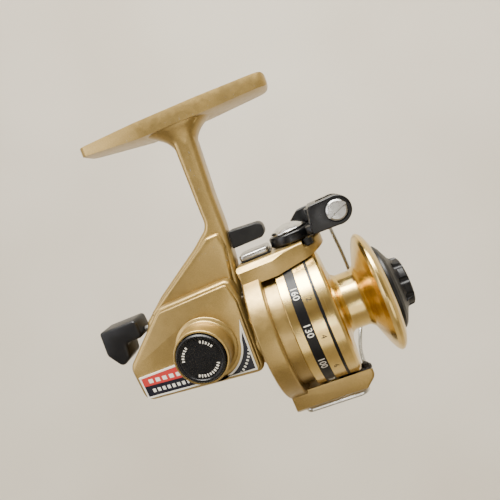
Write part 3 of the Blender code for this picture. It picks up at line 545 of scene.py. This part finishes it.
def printed_foil():
    """Printed foil: a navy field, a red block at its rear top, and plain bars and dashes for the print."""
    material, tree, shader, place = start_material("printed_aluminium_foil", Coat_Weight=0.08,
                                                   Coat_Roughness=0.2, Specular_IOR_Level=0.3)
    away = from_shaft(tree, place)
    x, _, z = axes_of(tree, away)
    height = calc(tree, "ADD", z, calc(tree, "MULTIPLY", calc(tree, "ADD", x, 44.4 * MM), 0.087))
    across = calc(tree, "SUBTRACT", x, DRIVE[0] * MM)
    up = calc(tree, "SUBTRACT", z, DRIVE[1] * MM)
    reach = length(tree, across, up)
    turn = calc(tree, "ARCTAN2", up, across)

    def within(value, low, high):
        """One inside two bounds, nought outside."""
        return calc(tree, "MULTIPLY", calc(tree, "GREATER_THAN", value, low),
                    calc(tree, "LESS_THAN", value, high))

    def dashes(along, pitch, fill, *bounds):
        """A row of dashes inside its bounds."""
        phase = calc(tree, "FRACT", calc(tree, "DIVIDE", along, pitch))
        return product(tree, calc(tree, "LESS_THAN", phase, fill), *bounds)

    speckle = spread(tree, grain(tree, place, 0.8, 4), 0.3, 0.7, 0, 0.35)
    base = blend(tree, speckle, colour("14141F"), colour("1F1E29"))
    red = calc(tree, "MULTIPLY", within(height, 0.7 * MM, 0.02), within(x, -0.05, -29 * MM))
    base = blend(tree, red, base, colour("B23330"))
    for share in (dashes(x, 2.1 * MM, 0.62, within(height, 1.4 * MM, 2.6 * MM),
                         within(x, -42 * MM, -32.5 * MM)),
                  dashes(x, 1.5 * MM, 0.6, within(height, -1.5 * MM, -0.4 * MM),
                         within(x, -42 * MM, -31 * MM)),
                  dashes(turn, 0.085, 0.5, within(reach, 11.5 * MM, 12.2 * MM), within(turn, -1.05, -0.1))):
        base = blend(tree, share, base, colour("DEDACF"))
    rough = spread(tree, grain(tree, place, 1.5, 3), 0.3, 0.7, 0.28, 0.42)
    feed(tree, shader, Base_Color=base, Roughness=rough)
    relief(tree, shader, grain(tree, place, 0.4, 2), 0.004, 0.4)
    return material


GOLD_LACQUER = cast_aluminium_in_gold_lacquer()
GOLD_ANODISED = turned_gold_anodised_aluminium()
ENAMEL = black_enamel("black_enamel_on_zinc", "050506", "3A3835", 0.24)
GREY_ENAMEL = black_enamel("grey_enamel_on_steel", "2E2D2E", "77736C", 0.30)
ABS = moulded_abs("black_abs_textured", "060607", 0.34)
ABS_SMOOTH = moulded_abs("black_abs_polished", "060607", 0.22, 0.8, 0.003)
CHROME = chrome_plate()
DULL_CHROME = chrome_plate("dull_nickel_plate", "B9B8B4", "6E6A62", 0.24)
WIRE = chrome_plate("stainless_spring_wire", "A9AAA8", "6F6C66", 0.20)
BRASS = machined_metal("turned_brass", "C9A35A", "8C6A34", 0.22)
STEEL = machined_metal("ground_steel", "A9A8A4", "6D6A66", 0.22)
RUBBER = soft_goods("moulded_rubber", "0B0B0B", "060606", 0.6, 0.02, 0.5)
FELT = soft_goods("pressed_felt", "CFC8B6", "A79F8B", 0.25, 0.05, 0.92)
NYLON = soft_goods("turned_nylon", "D8D3C4", "C2BCA8", 0.8, 0.01, 0.45)
FOIL = printed_foil()
WHITE_INK = soft_goods("white_screen_print", "E8E4D8", "CFC9BA", 0.2, 0.003, 0.45)
BLACK_INK = soft_goods("black_screen_print", "17161A", "26242A", 0.2, 0.003, 0.40)


# --- the casting and what is fixed to it ----------------------------------------------------------
def casting():
    """Foot, stem and gear housing in one casting."""
    x, z = DRIVE
    housing = slab("gear_housing_casting", eased(HOUSING), HOUSING_Y, edge=1.1, bevel_steps=4)
    panel = slab("panel", eased(inset(HOUSING, 1.0)), (PANEL_Y, -9.0), edge=0.45)
    web = slab("web", eased([(-9.2, 18, 0), (-7.0, 28.6, 1), (-7.6, 33, 1), (-11.4, 33, 2),
                             (-35.5, 18.6, 1), (-33, 14, 0)]), (-5.8, 5.8), edge=1.3, bevel_steps=4)
    stem = slab("stem", eased([(-8.6, 13, 0), (-6.6, 24, 2), (-5.3, 35, 9), (-4.9, 43, 9),
                               (-2.8, 65.5, 0), (-9.3, 65.5, 0), (-10.3, 43, 9), (-10.5, 35.6, 4),
                               (-16.4, 31.2, 9), (-31.4, 22.0, 9), (-38.6, 16.4, 2), (-40.2, 13.2, 1.4),
                               (-34, 11, 0)], 8), (-3.8, 3.8), edge=1.7, bevel_steps=5)
    half = FOOT_LENGTH / 2
    side = slab("foot", eased([(-half, 0, 0.8), (-half, -2.4, 0.8), (-9, -4.3, 9), (9, -4.3, 9),
                               (half, -3.7, 1.4), (half, 0, 1.2)], 8), (-7, 7))
    plan = slab("foot_plan", eased([(-half, -3.8, 3.0), (-9, -6.0, 12), (9, -6.0, 12), (half, -4.6, 3.8),
                                    (half, 4.6, 3.8), (9, 6.0, 12), (-9, 6.0, 12), (-half, 3.8, 3.0)], 8),
                (-15, 2), "XY")
    shape_with(side, "INTERSECT", plan)
    soften(side, 0.7, 3, 50)
    side.data.transform(Matrix.Translation(-SHAFT))
    neck = flared("foot_neck", NECK)
    union(side, neck)
    settle(side, Matrix.Rotation(math.radians(FOOT_TILT), 4, "Y"), spot(FOOT_CENTRE[0], 0, FOOT_CENTRE[1]))
    body = union(housing, panel, web, stem, side)
    cut(body, slab("cavity", eased(inset(HOUSING, 1.6)), (-8.4, HOUSING_Y[1] + 2)))
    nose = turned("nose", [(-9.8, 0), (-9.8, 9.0), (-1.0, 9.0, 0.6), (-1.0, 0)])
    boss = turned("boss", [(-9.0, 0), (-9.0, 8.9), (-10.75, 8.9, 0.35), (-11.2, 7.9, 0.5),
                           (-12.2, 7.6, 0.6),
                           (-17.3, 7.6, 0.35), (-17.3, 0)], "Y", (x, 0, z))
    posts = [turned(f"post_{i}", [(4.2, 0), (4.2, 2.4), (HOUSING_Y[1], 2.4), (HOUSING_Y[1], 0)], "Y",
                    (px, 0, pz), FINE) for i, (px, pz) in enumerate(COVER_SCREWS)]
    union(body, nose, boss, *posts)
    front_bore = turned("front_bore", [(0.5, 0), (0.5, 6.4), (-5.0, 6.4), (-5.0, 4.4), (-12, 4.4),
                                       (-12, 0)])
    side_bore = turned("side_bore", [(-7, 0), (-7, 4.0), (-13.4, 4.0), (-13.4, 7.0), (-18, 7.0), (-18, 0)],
                       "Y", (x, 0, z))
    rod_hole = bore("rod_hole", -50, 0, 1.5, "X", (0, 0, 14.0))
    holes = [bore(f"hole_{i}", 5.0, 12, COVER_HOLE_R, "Y", (px, 0, pz))
             for i, (px, pz) in enumerate(COVER_SCREWS)]
    cut(body, front_bore, side_bore, rod_hole, *holes)
    finished(body, GOLD_LACQUER, "frame", ["reel_body"])


def fixed_pieces():
    """Side cover and its screws, badge, cap and the rubber block that the bail arm meets."""
    x, z = DRIVE
    low, high = HOUSING_Y[1] + 0.3, HOUSING_Y[1] + 1.9
    cover = slab("side_cover_plate", eased(inset(HOUSING, 0.3)), (low, high), edge=0.5)
    boss = turned("far_boss", [(high - 0.6, 0), (high - 0.6, 8.4), (high + 0.5, 7.5, 0.5), (14.0, 7.2, 0.5),
                               (14.0, 0)], "Y", (x, 0, z))
    union(cover, boss)
    cut(cover, turned("bush_seat", [(6, 0), (6, 4.0), (16, 4.0), (16, 0)], "Y", (x, 0, z)),
        *[bore(f"way_{i}", 5, 14, COVER_HOLE_R, "Y", (px, 0, pz))
          for i, (px, pz) in enumerate(COVER_SCREWS)])
    finished(cover, GOLD_LACQUER, "frame", ["side_cover"])
    for i, (px, pz) in enumerate(COVER_SCREWS):
        screw = turned(f"cover_screw_head_{i + 1}",
                       [(5.4, 0), (5.4, 0.85), (high + 0.3, 0.85), (high + 0.3, 2.0, 0.1),
                        (high + 0.8, 1.95, 0.3),
                        (high + 1.2, 1.3, 0.3), (high + 1.2, 0)], "Y", (px, 0, pz), FINE)
        cut(screw, block(f"slot_{i}", (px - 2.5, high + 0.8, pz - 0.25), (px + 2.5, high + 2, pz + 0.25)))
        finished(screw, CHROME, "frame", [f"cover_screw_{i + 1}"])
    sweep = arc(DRIVE, 9.8, 188, 352, 48)
    outline = [(-44.4, -3.0), (-44.4, 3.7)] + sweep + [(-10.4, 9.4), (-11.3, -5.6)]
    badge = slab("side_badge", outline, (PANEL_Y - 0.6, PANEL_Y - 0.3))
    badge.data.materials.append(FOIL)
    badge.data.materials.append(WHITE_INK)
    only(badge)
    edit("DESELECT")
    bpy.ops.mesh.select_mode(type="FACE")
    bpy.ops.object.mode_set(mode="OBJECT")
    for face in badge.data.polygons:
        face.select = face.normal.y < -0.9
        face.material_index = 1
    bpy.ops.object.mode_set(mode="EDIT")
    bpy.ops.mesh.inset(thickness=0.5 * MM)
    bpy.ops.object.mode_set(mode="OBJECT")
    for face in badge.data.polygons:
        if face.select:
            face.material_index = 0
    finished(badge, FOIL, "frame", ["label_plate"])
    cap = turned("retrieve_side_cap", [(-17.75, 0), (-17.75, 5.6, 0.3), (-18.1, 5.9, 0.25),
                                       (-18.1, 6.35, 0.2),
                                       (-17.7, 6.7, 0.2), (-13.8, 6.7), (-13.8, 5.2), (-15.8, 5.2),
                                       (-15.8, 0)],
                 "Y", (x, 0, z))
    finished(cap, ABS_SMOOTH, "frame", ["blank_cap"])
    marks = []
    for start, count in ((118, 10), (238, 6), (330, 5)):
        for i in range(count):
            tall, wide = (0.40, 0.15) if i % 2 else (0.34, 0.22)
            mark = slab(f"mark_{start}_{i}", [(4.7 - tall, -wide), (4.7 + tall, -wide), (4.7 + tall, wide),
                                              (4.7 - tall, wide)], (-17.80, -17.74))
            moved(mark, Matrix.Rotation(math.radians(start - 9.5 * i), 4, "Y"), spot(x, 0, z))
            marks.append(mark)
    finished(gather("cap_marks", *marks), WHITE_INK, "frame")
    bumper = slab("bail_trip_bumper", eased([(-5.8, 26.9, 0.4), (4.4, 26.9, 1.8), (4.4, 31.2, 1.8),
                                             (-5.2, 32.0, 0.4)]), (-3.3, 3.3), edge=0.8, bevel_steps=4)
    finished(bumper, RUBBER, "frame", ["trip_bumper"])


def lever():
    """The thumb lever behind the housing."""
    side = eased([(-54.0, 18.7, 0.9), (-41.7, 18.7, 1.2), (-41.7, 12.8, 1.2), (-47.2, 12.8, 1.2),
                  (-48.0, 8.4, 1.6), (-51.5, 6.2, 1.6), (-54.8, 11.2, 2.5)])
    piece = slab("anti_reverse_thumb_lever", side, (-4.2, 4.2), edge=1.0, bevel_steps=4)
    finished(piece, ABS, "anti_reverse", ["anti_reverse_lever"])


# --- crank ----------------------------------------------------------------------------------------
def crank():
    """Hub sleeve, blade, rivet and the fluted knob that spins on it."""
    x, z = DRIVE
    heading = math.radians(CRANK_ANGLE)
    tip = (x + CRANK_LENGTH * math.cos(heading), z + CRANK_LENGTH * math.sin(heading))
    hub = turned("crank_hub_sleeve", [(14.4, 2.95), (14.4, 5.2, 0.5), (16, 5.4, 0.6), (17, 4.4, 0.8),
                                      (30, 3.9, 0.8),
                                      (31, 4.6, 0.4), (33.1, 4.6, 0.3), (33.1, 1.4), (20.8, 1.4),
                                      (20.8, 2.95)],
                 "Y", (x, 0, z))
    finished(hub, ENAMEL, "crank", ["crank_hub"])
    blade = slab("crank_blade", stadium((x, z), tip, 5.2, 4.0), (33.4, 36.2), edge=0.8, bevel_steps=4)
    cut(blade, bore("eye", 30, 40, 1.9, "Y", (tip[0], 0, tip[1])),
        slab("recess", stadium((x + 6.5 * math.cos(heading), z + 6.5 * math.sin(heading)),
                               (tip[0] - 7 * math.cos(heading), tip[1] - 7 * math.sin(heading)), 2.9, 2.0),
             (35.6, 38), edge=0.0))
    finished(blade, CHROME, "crank", ["crank_arm"])
    rivet = turned("knob_spindle_rivet", [(32.2, 0), (32.2, 2.6, 0.3), (33.1, 3.0, 0.2), (33.1, 1.6),
                                          (58.2, 1.6),
                                          (58.2, 2.3, 0.15), (58.75, 2.1, 0.3), (59.0, 1.2, 0.3),
                                          (59.0, 0)],
                   "Y", (tip[0], 0, tip[1]), FINE)
    finished(rivet, CHROME, "crank", ["knob_spindle"])
    knob = turned("crank_grip_knob", [(36.6, 1.95), (36.6, 3.6, 0.4), (38, 4.2, 1.2), (44, 5.0, 3),
                                      (50, 6.0, 4),
                                      (55, 6.4, 1.6), (57.4, 5.6, 0.8), (57.9, 4.6, 0.4), (57.9, 1.95)],
                  "Y", (tip[0], 0, tip[1]))
    flutes = []
    for i in range(12):
        flute = turned(f"flute_{i}", [(41, 0), (41, 0.55, 0.5), (54, 0.55, 0.5), (54, 0)], "Y", (0, 0, 0),
                       16)
        moved(flute, Matrix.Rotation(math.radians(30 * i), 4, "Y") @ Matrix.Translation((6.0 * MM, 0, 0))
               @ Matrix.Rotation(math.radians(7), 4, "Z"), spot(tip[0], 0, tip[1]))
        flutes.append(flute)
    cut(knob, *flutes)
    finished(knob, ABS, "grip", ["handle_knob"])


# --- rotor ----------------------------------------------------------------------------------------
def rotor():
    """Cup with two arms; the arms' plan is rounded at the front and their long edges chamfered."""
    cup = turned("rotor_casting", [
        (-6.3, 18.6), (-6.3, 19.7, 0.3), (-5.9, 20.2, 0.3), (-1.5, 20.2, 0.3), (-1.1, 19.8, 0.2),
        (-1.1, 17.4, 0.2),
        (10.6, 17.4, 0.8), (12.0, 16.0, 0.8), (12.0, 7.6, 0.4), (13.6, 7.2, 0.3), (13.6, 3.75), (6.0, 3.75),
        (6.0, 7.0), (10.4, 8.2), (10.4, 15.2), (9.6, 15.9), (-0.6, 15.9), (-2.4, 18.6)])
    nose = arc((BAIL_X - 0.4, 0), 8.3, -78, 78, 32)
    plan = [(-6.3, -10), (4.0, -10)] + nose + [(4.0, 10), (-6.3, 10)]
    upper = slab("upper_arm", plan, (12, ARM_TOP), "XY", edge=0.7)
    lower = slab("lower_arm", eased([(-6.3, -12), (-6.3, -22.6, 0.8), (13.5, ARM_BOTTOM, 4.5),
                                     (17.6, -19, 2.5),
                                     (17.6, -12)]), (-10, 10), edge=0.7)
    for arm, level in ((upper, ARM_TOP), (lower, ARM_BOTTOM)):
        for side in (-1, 1):
            wedge = block(f"wedge_{side}", (-15, -3, -3), (15, 3, 3))
            moved(wedge, Matrix.Rotation(math.radians(45), 4, "X"),
                   spot(7, side * 11.6, level + math.copysign(1.2, level)))
            cut(arm, wedge)
        cut(arm, turned("clearance", [(30, 0), (30, 19.3), (-1.2, 19.3), (-1.2, 19.0), (-9, 19.0),
                                      (-9, 0)]))
    cut(upper, block("notch", (12.8, -11, 20.4), (16.2, -4.4, 24)),
        bore("pocket", 20.7, 24, 5.5, "Z", (BAIL_X, 0, 0)),
        bore("pivot_way", 19.6, 24, 1.9, "Z", (BAIL_X, 0, 0)))
    cut(lower, block("trough", (4.2, -8.9, -21.6), (20, 8.9, -10)),
        block("wire_way", (12.5, 5.0, -21.6), (20, 11, -10)),
        bore("low_way", -22.4, -18, 1.4, "Z", (BAIL_X, 0, 0)))
    for arm in (upper, lower):
        soften(arm, 0.35, 3, 35)
    union(cup, upper, lower)
    finished(cup, GOLD_LACQUER, "rotor", ["rotor"])
    plate = slab("upper_arm_plate", eased([(-5.2, -4.5, 1.5), (3.5, -4.5, 0.8), (3.5, 4.5, 0.8),
                                           (-5.2, 4.5, 1.5)]),
                 (ARM_TOP + 0.3, 24.3), "XY", edge=0.5)
    finished(plate, DULL_CHROME, "rotor", ["upper_arm_cover"])
    gasket = slab("upper_arm_gasket", eased([(-5.2, -4.9, 1.5), (3.9, -4.9, 1.0), (3.9, 4.9, 1.0),
                                             (-5.2, 4.9, 1.5)]), (ARM_TOP + 0.02, ARM_TOP + 0.34), "XY")
    finished(gasket, ENAMEL, "rotor")
    low = slab("lower_arm_plate", eased([(-4.0, -9.0, 2), (15.0, -9.0, 3), (15.0, 9.0, 3), (-4.0, 9.0, 2)]),
               (ARM_BOTTOM - 1.0, ARM_BOTTOM + 0.25), "XY", edge=0.3)
    finished(low, CHROME, "rotor", ["lower_arm_cover"])
    dome = turned("bail_pivot_dome", [(27.7, 0), (27.7, 0.5), (27.62, 1.5, 1), (27.2, 3.2, 2),
                                      (26.5, 4.7, 1),
                                      (26.0, 5.3, 0.15), (25.75, 5.3), (25.75, 1.6), (19.9, 1.6),
                                      (19.9, 0)],
                  "Z", (BAIL_X, 0, 0))
    finished(dome, CHROME, "rotor", ["pivot_screw"])


# --- bail -----------------------------------------------------------------------------------------
def bail_route(steps=64):
    """The wire's centre line, a squarish half loop from the arm round to the lower lever."""
    top_z, low_z = 25.3, -20.5
    middle, reach = (top_z + low_z) / 2, (top_z - low_z) / 2
    route = []
    for i in range(steps + 1):
        t = math.pi * i / steps
        bow, rise = abs(math.sin(t)), math.cos(t)
        share = (1 - rise) / 2
        end_x, end_y = 22.4 + (16.2 - 22.4) * share, 1.5 + 0.4 * share
        route.append((end_x + (23.4 - end_x) * bow ** 2, end_y + (24.6 - end_y) * bow ** 0.7,
                      middle + reach * math.copysign(abs(rise) ** 0.75, rise)))
    return route


def bail():
    """Arm with its forked end, wire, lower lever, screw and line roller."""
    x = BAIL_X
    arm = turned("bail_arm_bracket", [(22.6, 2.9), (22.6, 6.2, 0.4), (25.4, 6.2, 0.6), (25.4, 2.9)], "Z",
                 (x, 0, 0))
    neck = slab("neck", [(15.0, -6.6), (20.0, -10.0), (20.0, 4.0), (15.0, 3.6)], (22.9, 25.2), "XY",
                edge=0.4)
    side = ([(16.4, 23.0), (20.6, 22.9)] + arc(ROLLER, 3.9, -100, 100, 40)
            + eased([(21.6, 30.5, 0), (18.2, 30.4, 0.5), (17.4, 29.8, 0.4), (16.9, 27.0, 1),
                     (16.4, 25.2, 0)]))
    fork = slab("fork", side, (-10.0, 1.2), edge=0.7, bevel_steps=4)
    tail = slab("tail", eased([(12.2, 22.9, 0), (11.4, 27.0, 1), (14.6, 29.6, 2), (18.2, 29.8, 1),
                               (19.0, 22.9, 0)]),
                (5.7, 7.4), edge=0.5)
    bridge = block("bridge", (16.6, 0.6, 23.4), (18.8, 6.6, 29.2), 0.3)
    union(arm, neck, fork, tail, bridge)
    cut(arm, block("roller_slot", (20.2, -6.6, 20), (30, -1.8, 34)),
        bore("screw_way", -10, 4, 1.3, "Y", (ROLLER[0], 0, ROLLER[1])),
        bore("screw_seat", -12, -9.2, 3.1, "Y", (ROLLER[0], 0, ROLLER[1])),
        bore("bore", 20, 25.6, 2.85, "Z", (x, 0, 0)))
    finished(arm, ENAMEL, "bail", ["bail_arm"])
    line = bpy.data.curves.new("bail_wire_hoop", "CURVE")
    line.dimensions = "3D"
    line.bevel_depth = 0.6 * MM
    line.bevel_resolution = 5
    line.use_fill_caps = True
    spline = line.splines.new("POLY")
    spline.points.add(64)
    for point, place in zip(spline.points, bail_route()):
        point.co = (*spot(*place), 1)
    hoop = bpy.data.objects.new("bail_wire_hoop", line)
    bpy.context.scene.collection.objects.link(hoop)
    only(hoop)
    bpy.ops.object.convert(target="MESH")
    finished(bpy.context.object, WIRE, "bail", ["bail_wire"], angle=60)
    low = slab("lower_lever", stadium((x, 0), (16.2, 0), 3.0, 1.7), (-21.3, -20.3), "XY", edge=0.25)
    knuckle = turned("knuckle", [(-19.4, 0), (-19.4, 0.3), (-19.5, 0.9, 0.3), (-20.4, 1.45, 0.5),
                                 (-21.2, 1.2, 0.1),
                                 (-21.2, 0)], "Z", (16.2, 0, 0), FINE)
    union(low, knuckle)
    cut(low, bore("lever_bore", -24, -18, 1.4, "Z", (x, 0, 0)))
    finished(low, GREY_ENAMEL, "bail", ["lower_bail_lever"])
    screw = turned("roller_screw_head", [(-10.1, 0), (-10.1, 2.3, 0.2), (-9.8, 2.8, 0.2), (-9.2, 2.85, 0.1),
                                         (-9.2, 1.0), (1.0, 1.0), (1.0, 0)], "Y",
                                         (ROLLER[0], 0, ROLLER[1]), FINE)
    slot = block("screw_slot", (-4, -11, -0.48), (4, -9.45, 0.48))
    moved(slot, Matrix.Rotation(math.radians(-22), 4, "Y"), spot(ROLLER[0], 0, ROLLER[1]))
    cut(screw, slot)
    finished(screw, DULL_CHROME, "bail", ["roller_screw"])
    roller = turned("line_guide_roller", [(-6.2, 1.3), (-6.2, 3.0, 0.3), (-5.0, 2.3, 0.6), (-3.4, 2.3, 0.6),
                                          (-2.2, 3.0, 0.3), (-2.2, 1.3)], "Y", (ROLLER[0], 0, ROLLER[1]),
                                          FINE)
    finished(roller, CHROME, "roller", ["line_roller"])


# --- spool and drag -------------------------------------------------------------------------------
def wrapped_numbers(name, numbers, x, height, start, pitch, material):
    """Numbers printed round the skirt, reading down the near side with their tops to the front."""
    parts = []
    for i, number in enumerate(numbers):
        bpy.ops.object.select_all(action="DESELECT")
        bpy.ops.object.text_add(location=(0, 0, 0))
        text = bpy.context.object
        text.data.body = number
        text.data.size = height * MM
        text.data.align_x = "CENTER"
        text.data.align_y = "CENTER"
        text.data.resolution_u = 3
        bpy.ops.object.convert(target="MESH")
        digits = bpy.context.object
        edit()
        bpy.ops.mesh.subdivide(number_cuts=2)
        bpy.ops.mesh.extrude_region_move(TRANSFORM_OT_translate={"value": (0, 0, 0.04 * MM)})
        bpy.ops.object.mode_set(mode="OBJECT")
        middle = math.radians(start + pitch * i)
        for vertex in digits.data.vertices:
            u, v, w = vertex.co
            radius = (SKIRT_R - 0.01) * MM + w
            angle = middle - u / (SKIRT_R * MM)
            vertex.co = SHAFT + Vector((x * MM + v, -radius * math.cos(angle), radius * math.sin(angle)))
        only(digits)
        edit()
        close_edit()
        parts.append(digits)
    finished(gather(name, *parts), material, "spool")


def spool():
    """Spool with its skirt and lip, and the numbers printed round the skirt."""
    shell = turned("line_spool", [
        (2.7, 17.9), (2.7, 18.6, 0.1), (2.9, SKIRT_R, 0.15), (14.2, SKIRT_R, 0.8), (14.9, 18.3, 0.5),
        (15.3, 17.2, 0.5),
        (15.7, 15.0, 1.5), (16.0, 10.5, 1.5), (16.5, 8.9, 0.8), (17.6, 8.2, 1.0), (22.0, 8.2, 1.6),
        (23.2, 9.2, 1.6),
        (25.2, 14.8, 2.5), (26.1, 16.6, 0.5), (26.9, 17.3, 0.4), (27.6, 17.2, 0.5), (28.4, 16.4, 0.9),
        (29.2, 14.6, 0.8), (29.2, 13.2, 0.2), (28.6, 12.6, 0.2), (28.6, 11.6), (24.4, 11.6), (24.4, 1.9),
        (18.2, 1.9),
        (18.2, 5.6), (21.2, 6.2), (21.2, 7.2), (16.6, 7.2), (15.2, 8.6), (14.4, 14.2), (13.9, 17.2),
        (13.2, 17.9)],
        steps=160)
    finished(shell, GOLD_ANODISED, "spool", ["spool"])
    wrapped_numbers("skirt_numbers_white", ["190", "160", "130", "100", "70", "40", "190", "160", "130",
                                            "100",
                                            "70", "40"], 6.42, 2.5, 68, -30, WHITE_INK)
    wrapped_numbers("skirt_numbers_black", ["0", "2", "4", "6", "8", "0", "2", "4", "6", "8", "0", "2"],
                    9.35, 2.1,
                    60, -30, BLACK_INK)


def drag():
    """Drag knob, with scallops round its raised middle."""
    knob = turned("drag_adjuster_knob", [
        (35.0, 0), (35.0, 5.2, 0.4), (35.4, 5.8, 0.2), (35.4, 6.3, 0.2), (35.0, 6.9, 0.3), (33.4, 7.1, 0.4),
        (32.8, 7.8, 0.8), (31.2, 11.2, 1.5), (30.4, 12.2, 0.3), (29.5, 12.2, 0.2), (29.5, 8.4), (28.4, 8.2),
        (28.4, 4.6), (32.2, 4.6), (32.2, 1.6), (34.3, 1.6), (34.3, 0)])
    tools = []
    for i in range(10):
        scallop = turned(f"scallop_{i}", [(32.4, 0), (32.4, 1.1, 0.4), (37, 1.1), (37, 0)], "X", (0, 0, 0),
                         24)
        moved(scallop, Matrix.Rotation(math.radians(36 * i), 4,
                                       "X") @ Matrix.Translation((0, 0, 7.4 * MM)), SHAFT)
        tools.append(scallop)
    cut(knob, *tools)
    finished(knob, ABS, "drag_knob", ["drag_knob"])


# --- camera, light and floor ----------------------------------------------------------------------
def camera():
    """The camera, rolled to lean the reel back."""
    eye, target = spot(*EYE), spot(*TARGET)
    ahead = (target - eye).normalized()
    right = ahead.cross(Vector((0, 0, 1))).normalized()
    above = right.cross(ahead)
    roll = math.radians(VIEW_ROLL)
    camera_right = right * math.cos(roll) - above * math.sin(roll)
    camera_up = right * math.sin(roll) + above * math.cos(roll)
    lens = bpy.data.cameras.new("view_camera")
    lens.sensor_width = SENSOR
    lens.lens = LENS
    lens.clip_start = 0.005
    made = bpy.data.objects.new("view_camera", lens)
    bpy.context.scene.collection.objects.link(made)
    turn = Matrix((camera_right, camera_up, -ahead)).transposed().to_4x4()
    made.matrix_world = Matrix.Translation(eye) @ turn
    bpy.context.scene.camera = made


def light(name, place, target, size, power, tint):
    """A soft rectangular light aimed at a point."""
    data = bpy.data.lights.new(name, "AREA")
    data.shape = "RECTANGLE"
    data.size, data.size_y = size
    data.energy = power
    data.color = colour(tint)[:3]
    made = bpy.data.objects.new(name, data)
    bpy.context.scene.collection.objects.link(made)
    made.location = place
    made.rotation_euler = (target - place).to_track_quat("-Z", "Y").to_euler()


def studio():
    """A pale bowl round the reel, with painted shade darkening it towards the camera, and soft lights above and
    beside it.
    """
    sweep = [(-BOWL_R * math.cos(math.radians(a)), BOWL_R * math.sin(math.radians(a)))
             for a in range(0, 156, 5)]
    bowl = turned("sweep_backdrop", sweep + [(sweep[-1][0], 0)], "Z", (0, 0, 0), 96)
    only(bowl)
    edit("DESELECT")
    bpy.ops.mesh.select_mode(type="FACE")
    bpy.ops.object.mode_set(mode="OBJECT")
    for face in bowl.data.polygons:
        face.select = face.center.z - SHAFT.z > BOWL_TOP
    bpy.ops.object.mode_set(mode="EDIT")
    bpy.ops.mesh.delete(type="FACE")
    bpy.ops.mesh.select_all(action="SELECT")
    bpy.ops.mesh.flip_normals()
    bpy.ops.object.mode_set(mode="OBJECT")
    bpy.ops.object.shade_smooth()
    material, tree, shader, place = start_material("backdrop_board_with_painted_front_shade", Roughness=0.85)
    cloud = spread(tree, grain(tree, place, 300, 2), 0.3, 0.7, 0, 1)
    _, y, _ = axes_of(tree, place)
    # painted shade: the board's colour is blended to dark 8F887C on its side towards the camera, standing in for
    # dimmer light there
    painted_front_shade = spread(tree, y, -0.60, 0.15, 1, 0)
    pale = blend(tree, cloud, colour("DAD4C8"), colour("CFC8BA"))
    feed(tree, shader, Base_Color=blend(tree, painted_front_shade, pale, colour("8F887C")))
    bowl.data.materials.append(material)
    world = bpy.data.worlds.new("studio")
    world.use_nodes = True
    world.node_tree.nodes["Background"].inputs["Color"].default_value = colour("E8E6E2")
    world.node_tree.nodes["Background"].inputs["Strength"].default_value = 0.25
    bpy.context.scene.world = world
    middle = spot(-5, 0, 20)
    light("ceiling_softbox", spot(-60, -60, 420), middle, (0.36, 0.30), 3.4, "FFFDF8")
    light("side_softbox", spot(-330, -230, 120), middle, (0.22, 0.30), 0.9, "F8F8FF")
    light("window_strip", spot(-2, -400, -15), spot(12, 0, 3), (0.018, 0.09), 0.10, "FFFFFF")
    light("front_softbox", spot(50, -430, -170), middle, (0.42, 0.26), 0.6, "FFF9EE")
    light("wall_softbox", spot(60, -60, 330), spot(40, 600, 150), (0.30, 0.30), 8.0, "FFFDF8")


# --- CAD pieces that stay -------------------------------------------------------------------------
KEPT = {
    "near_bush far_bush drive_gear oscillation_driver oscillation_gear pinion_gear pivot_bush crosshead": BRASS,
    "pinion_bearing bearing_clip oscillation_post guide_rod pawl_post drive_shaft ratchet_wheel main_shaft "
    "crosshead_screw drag_disc_1 drag_clip anti_reverse_rod pawl crank_screw rotor_nut lower_pivot_screw": STEEL,
    "bail_spring drag_spring": WIRE, "drag_felt_1 drag_felt_2": FELT, "spool_washer": NYLON,
    "stop_buffer": RUBBER,
}


def keep_cad_pieces():
    """Give the pieces that keep their CAD shape a finish."""
    for names, material in KEPT.items():
        for name in names.split():
            node = frame["nodes"][name]
            node.data.materials.clear()
            node.data.materials.append(material)


camera()
casting()
fixed_pieces()
lever()
crank()
rotor()
bail()
spool()
drag()
keep_cad_pieces()
studio()
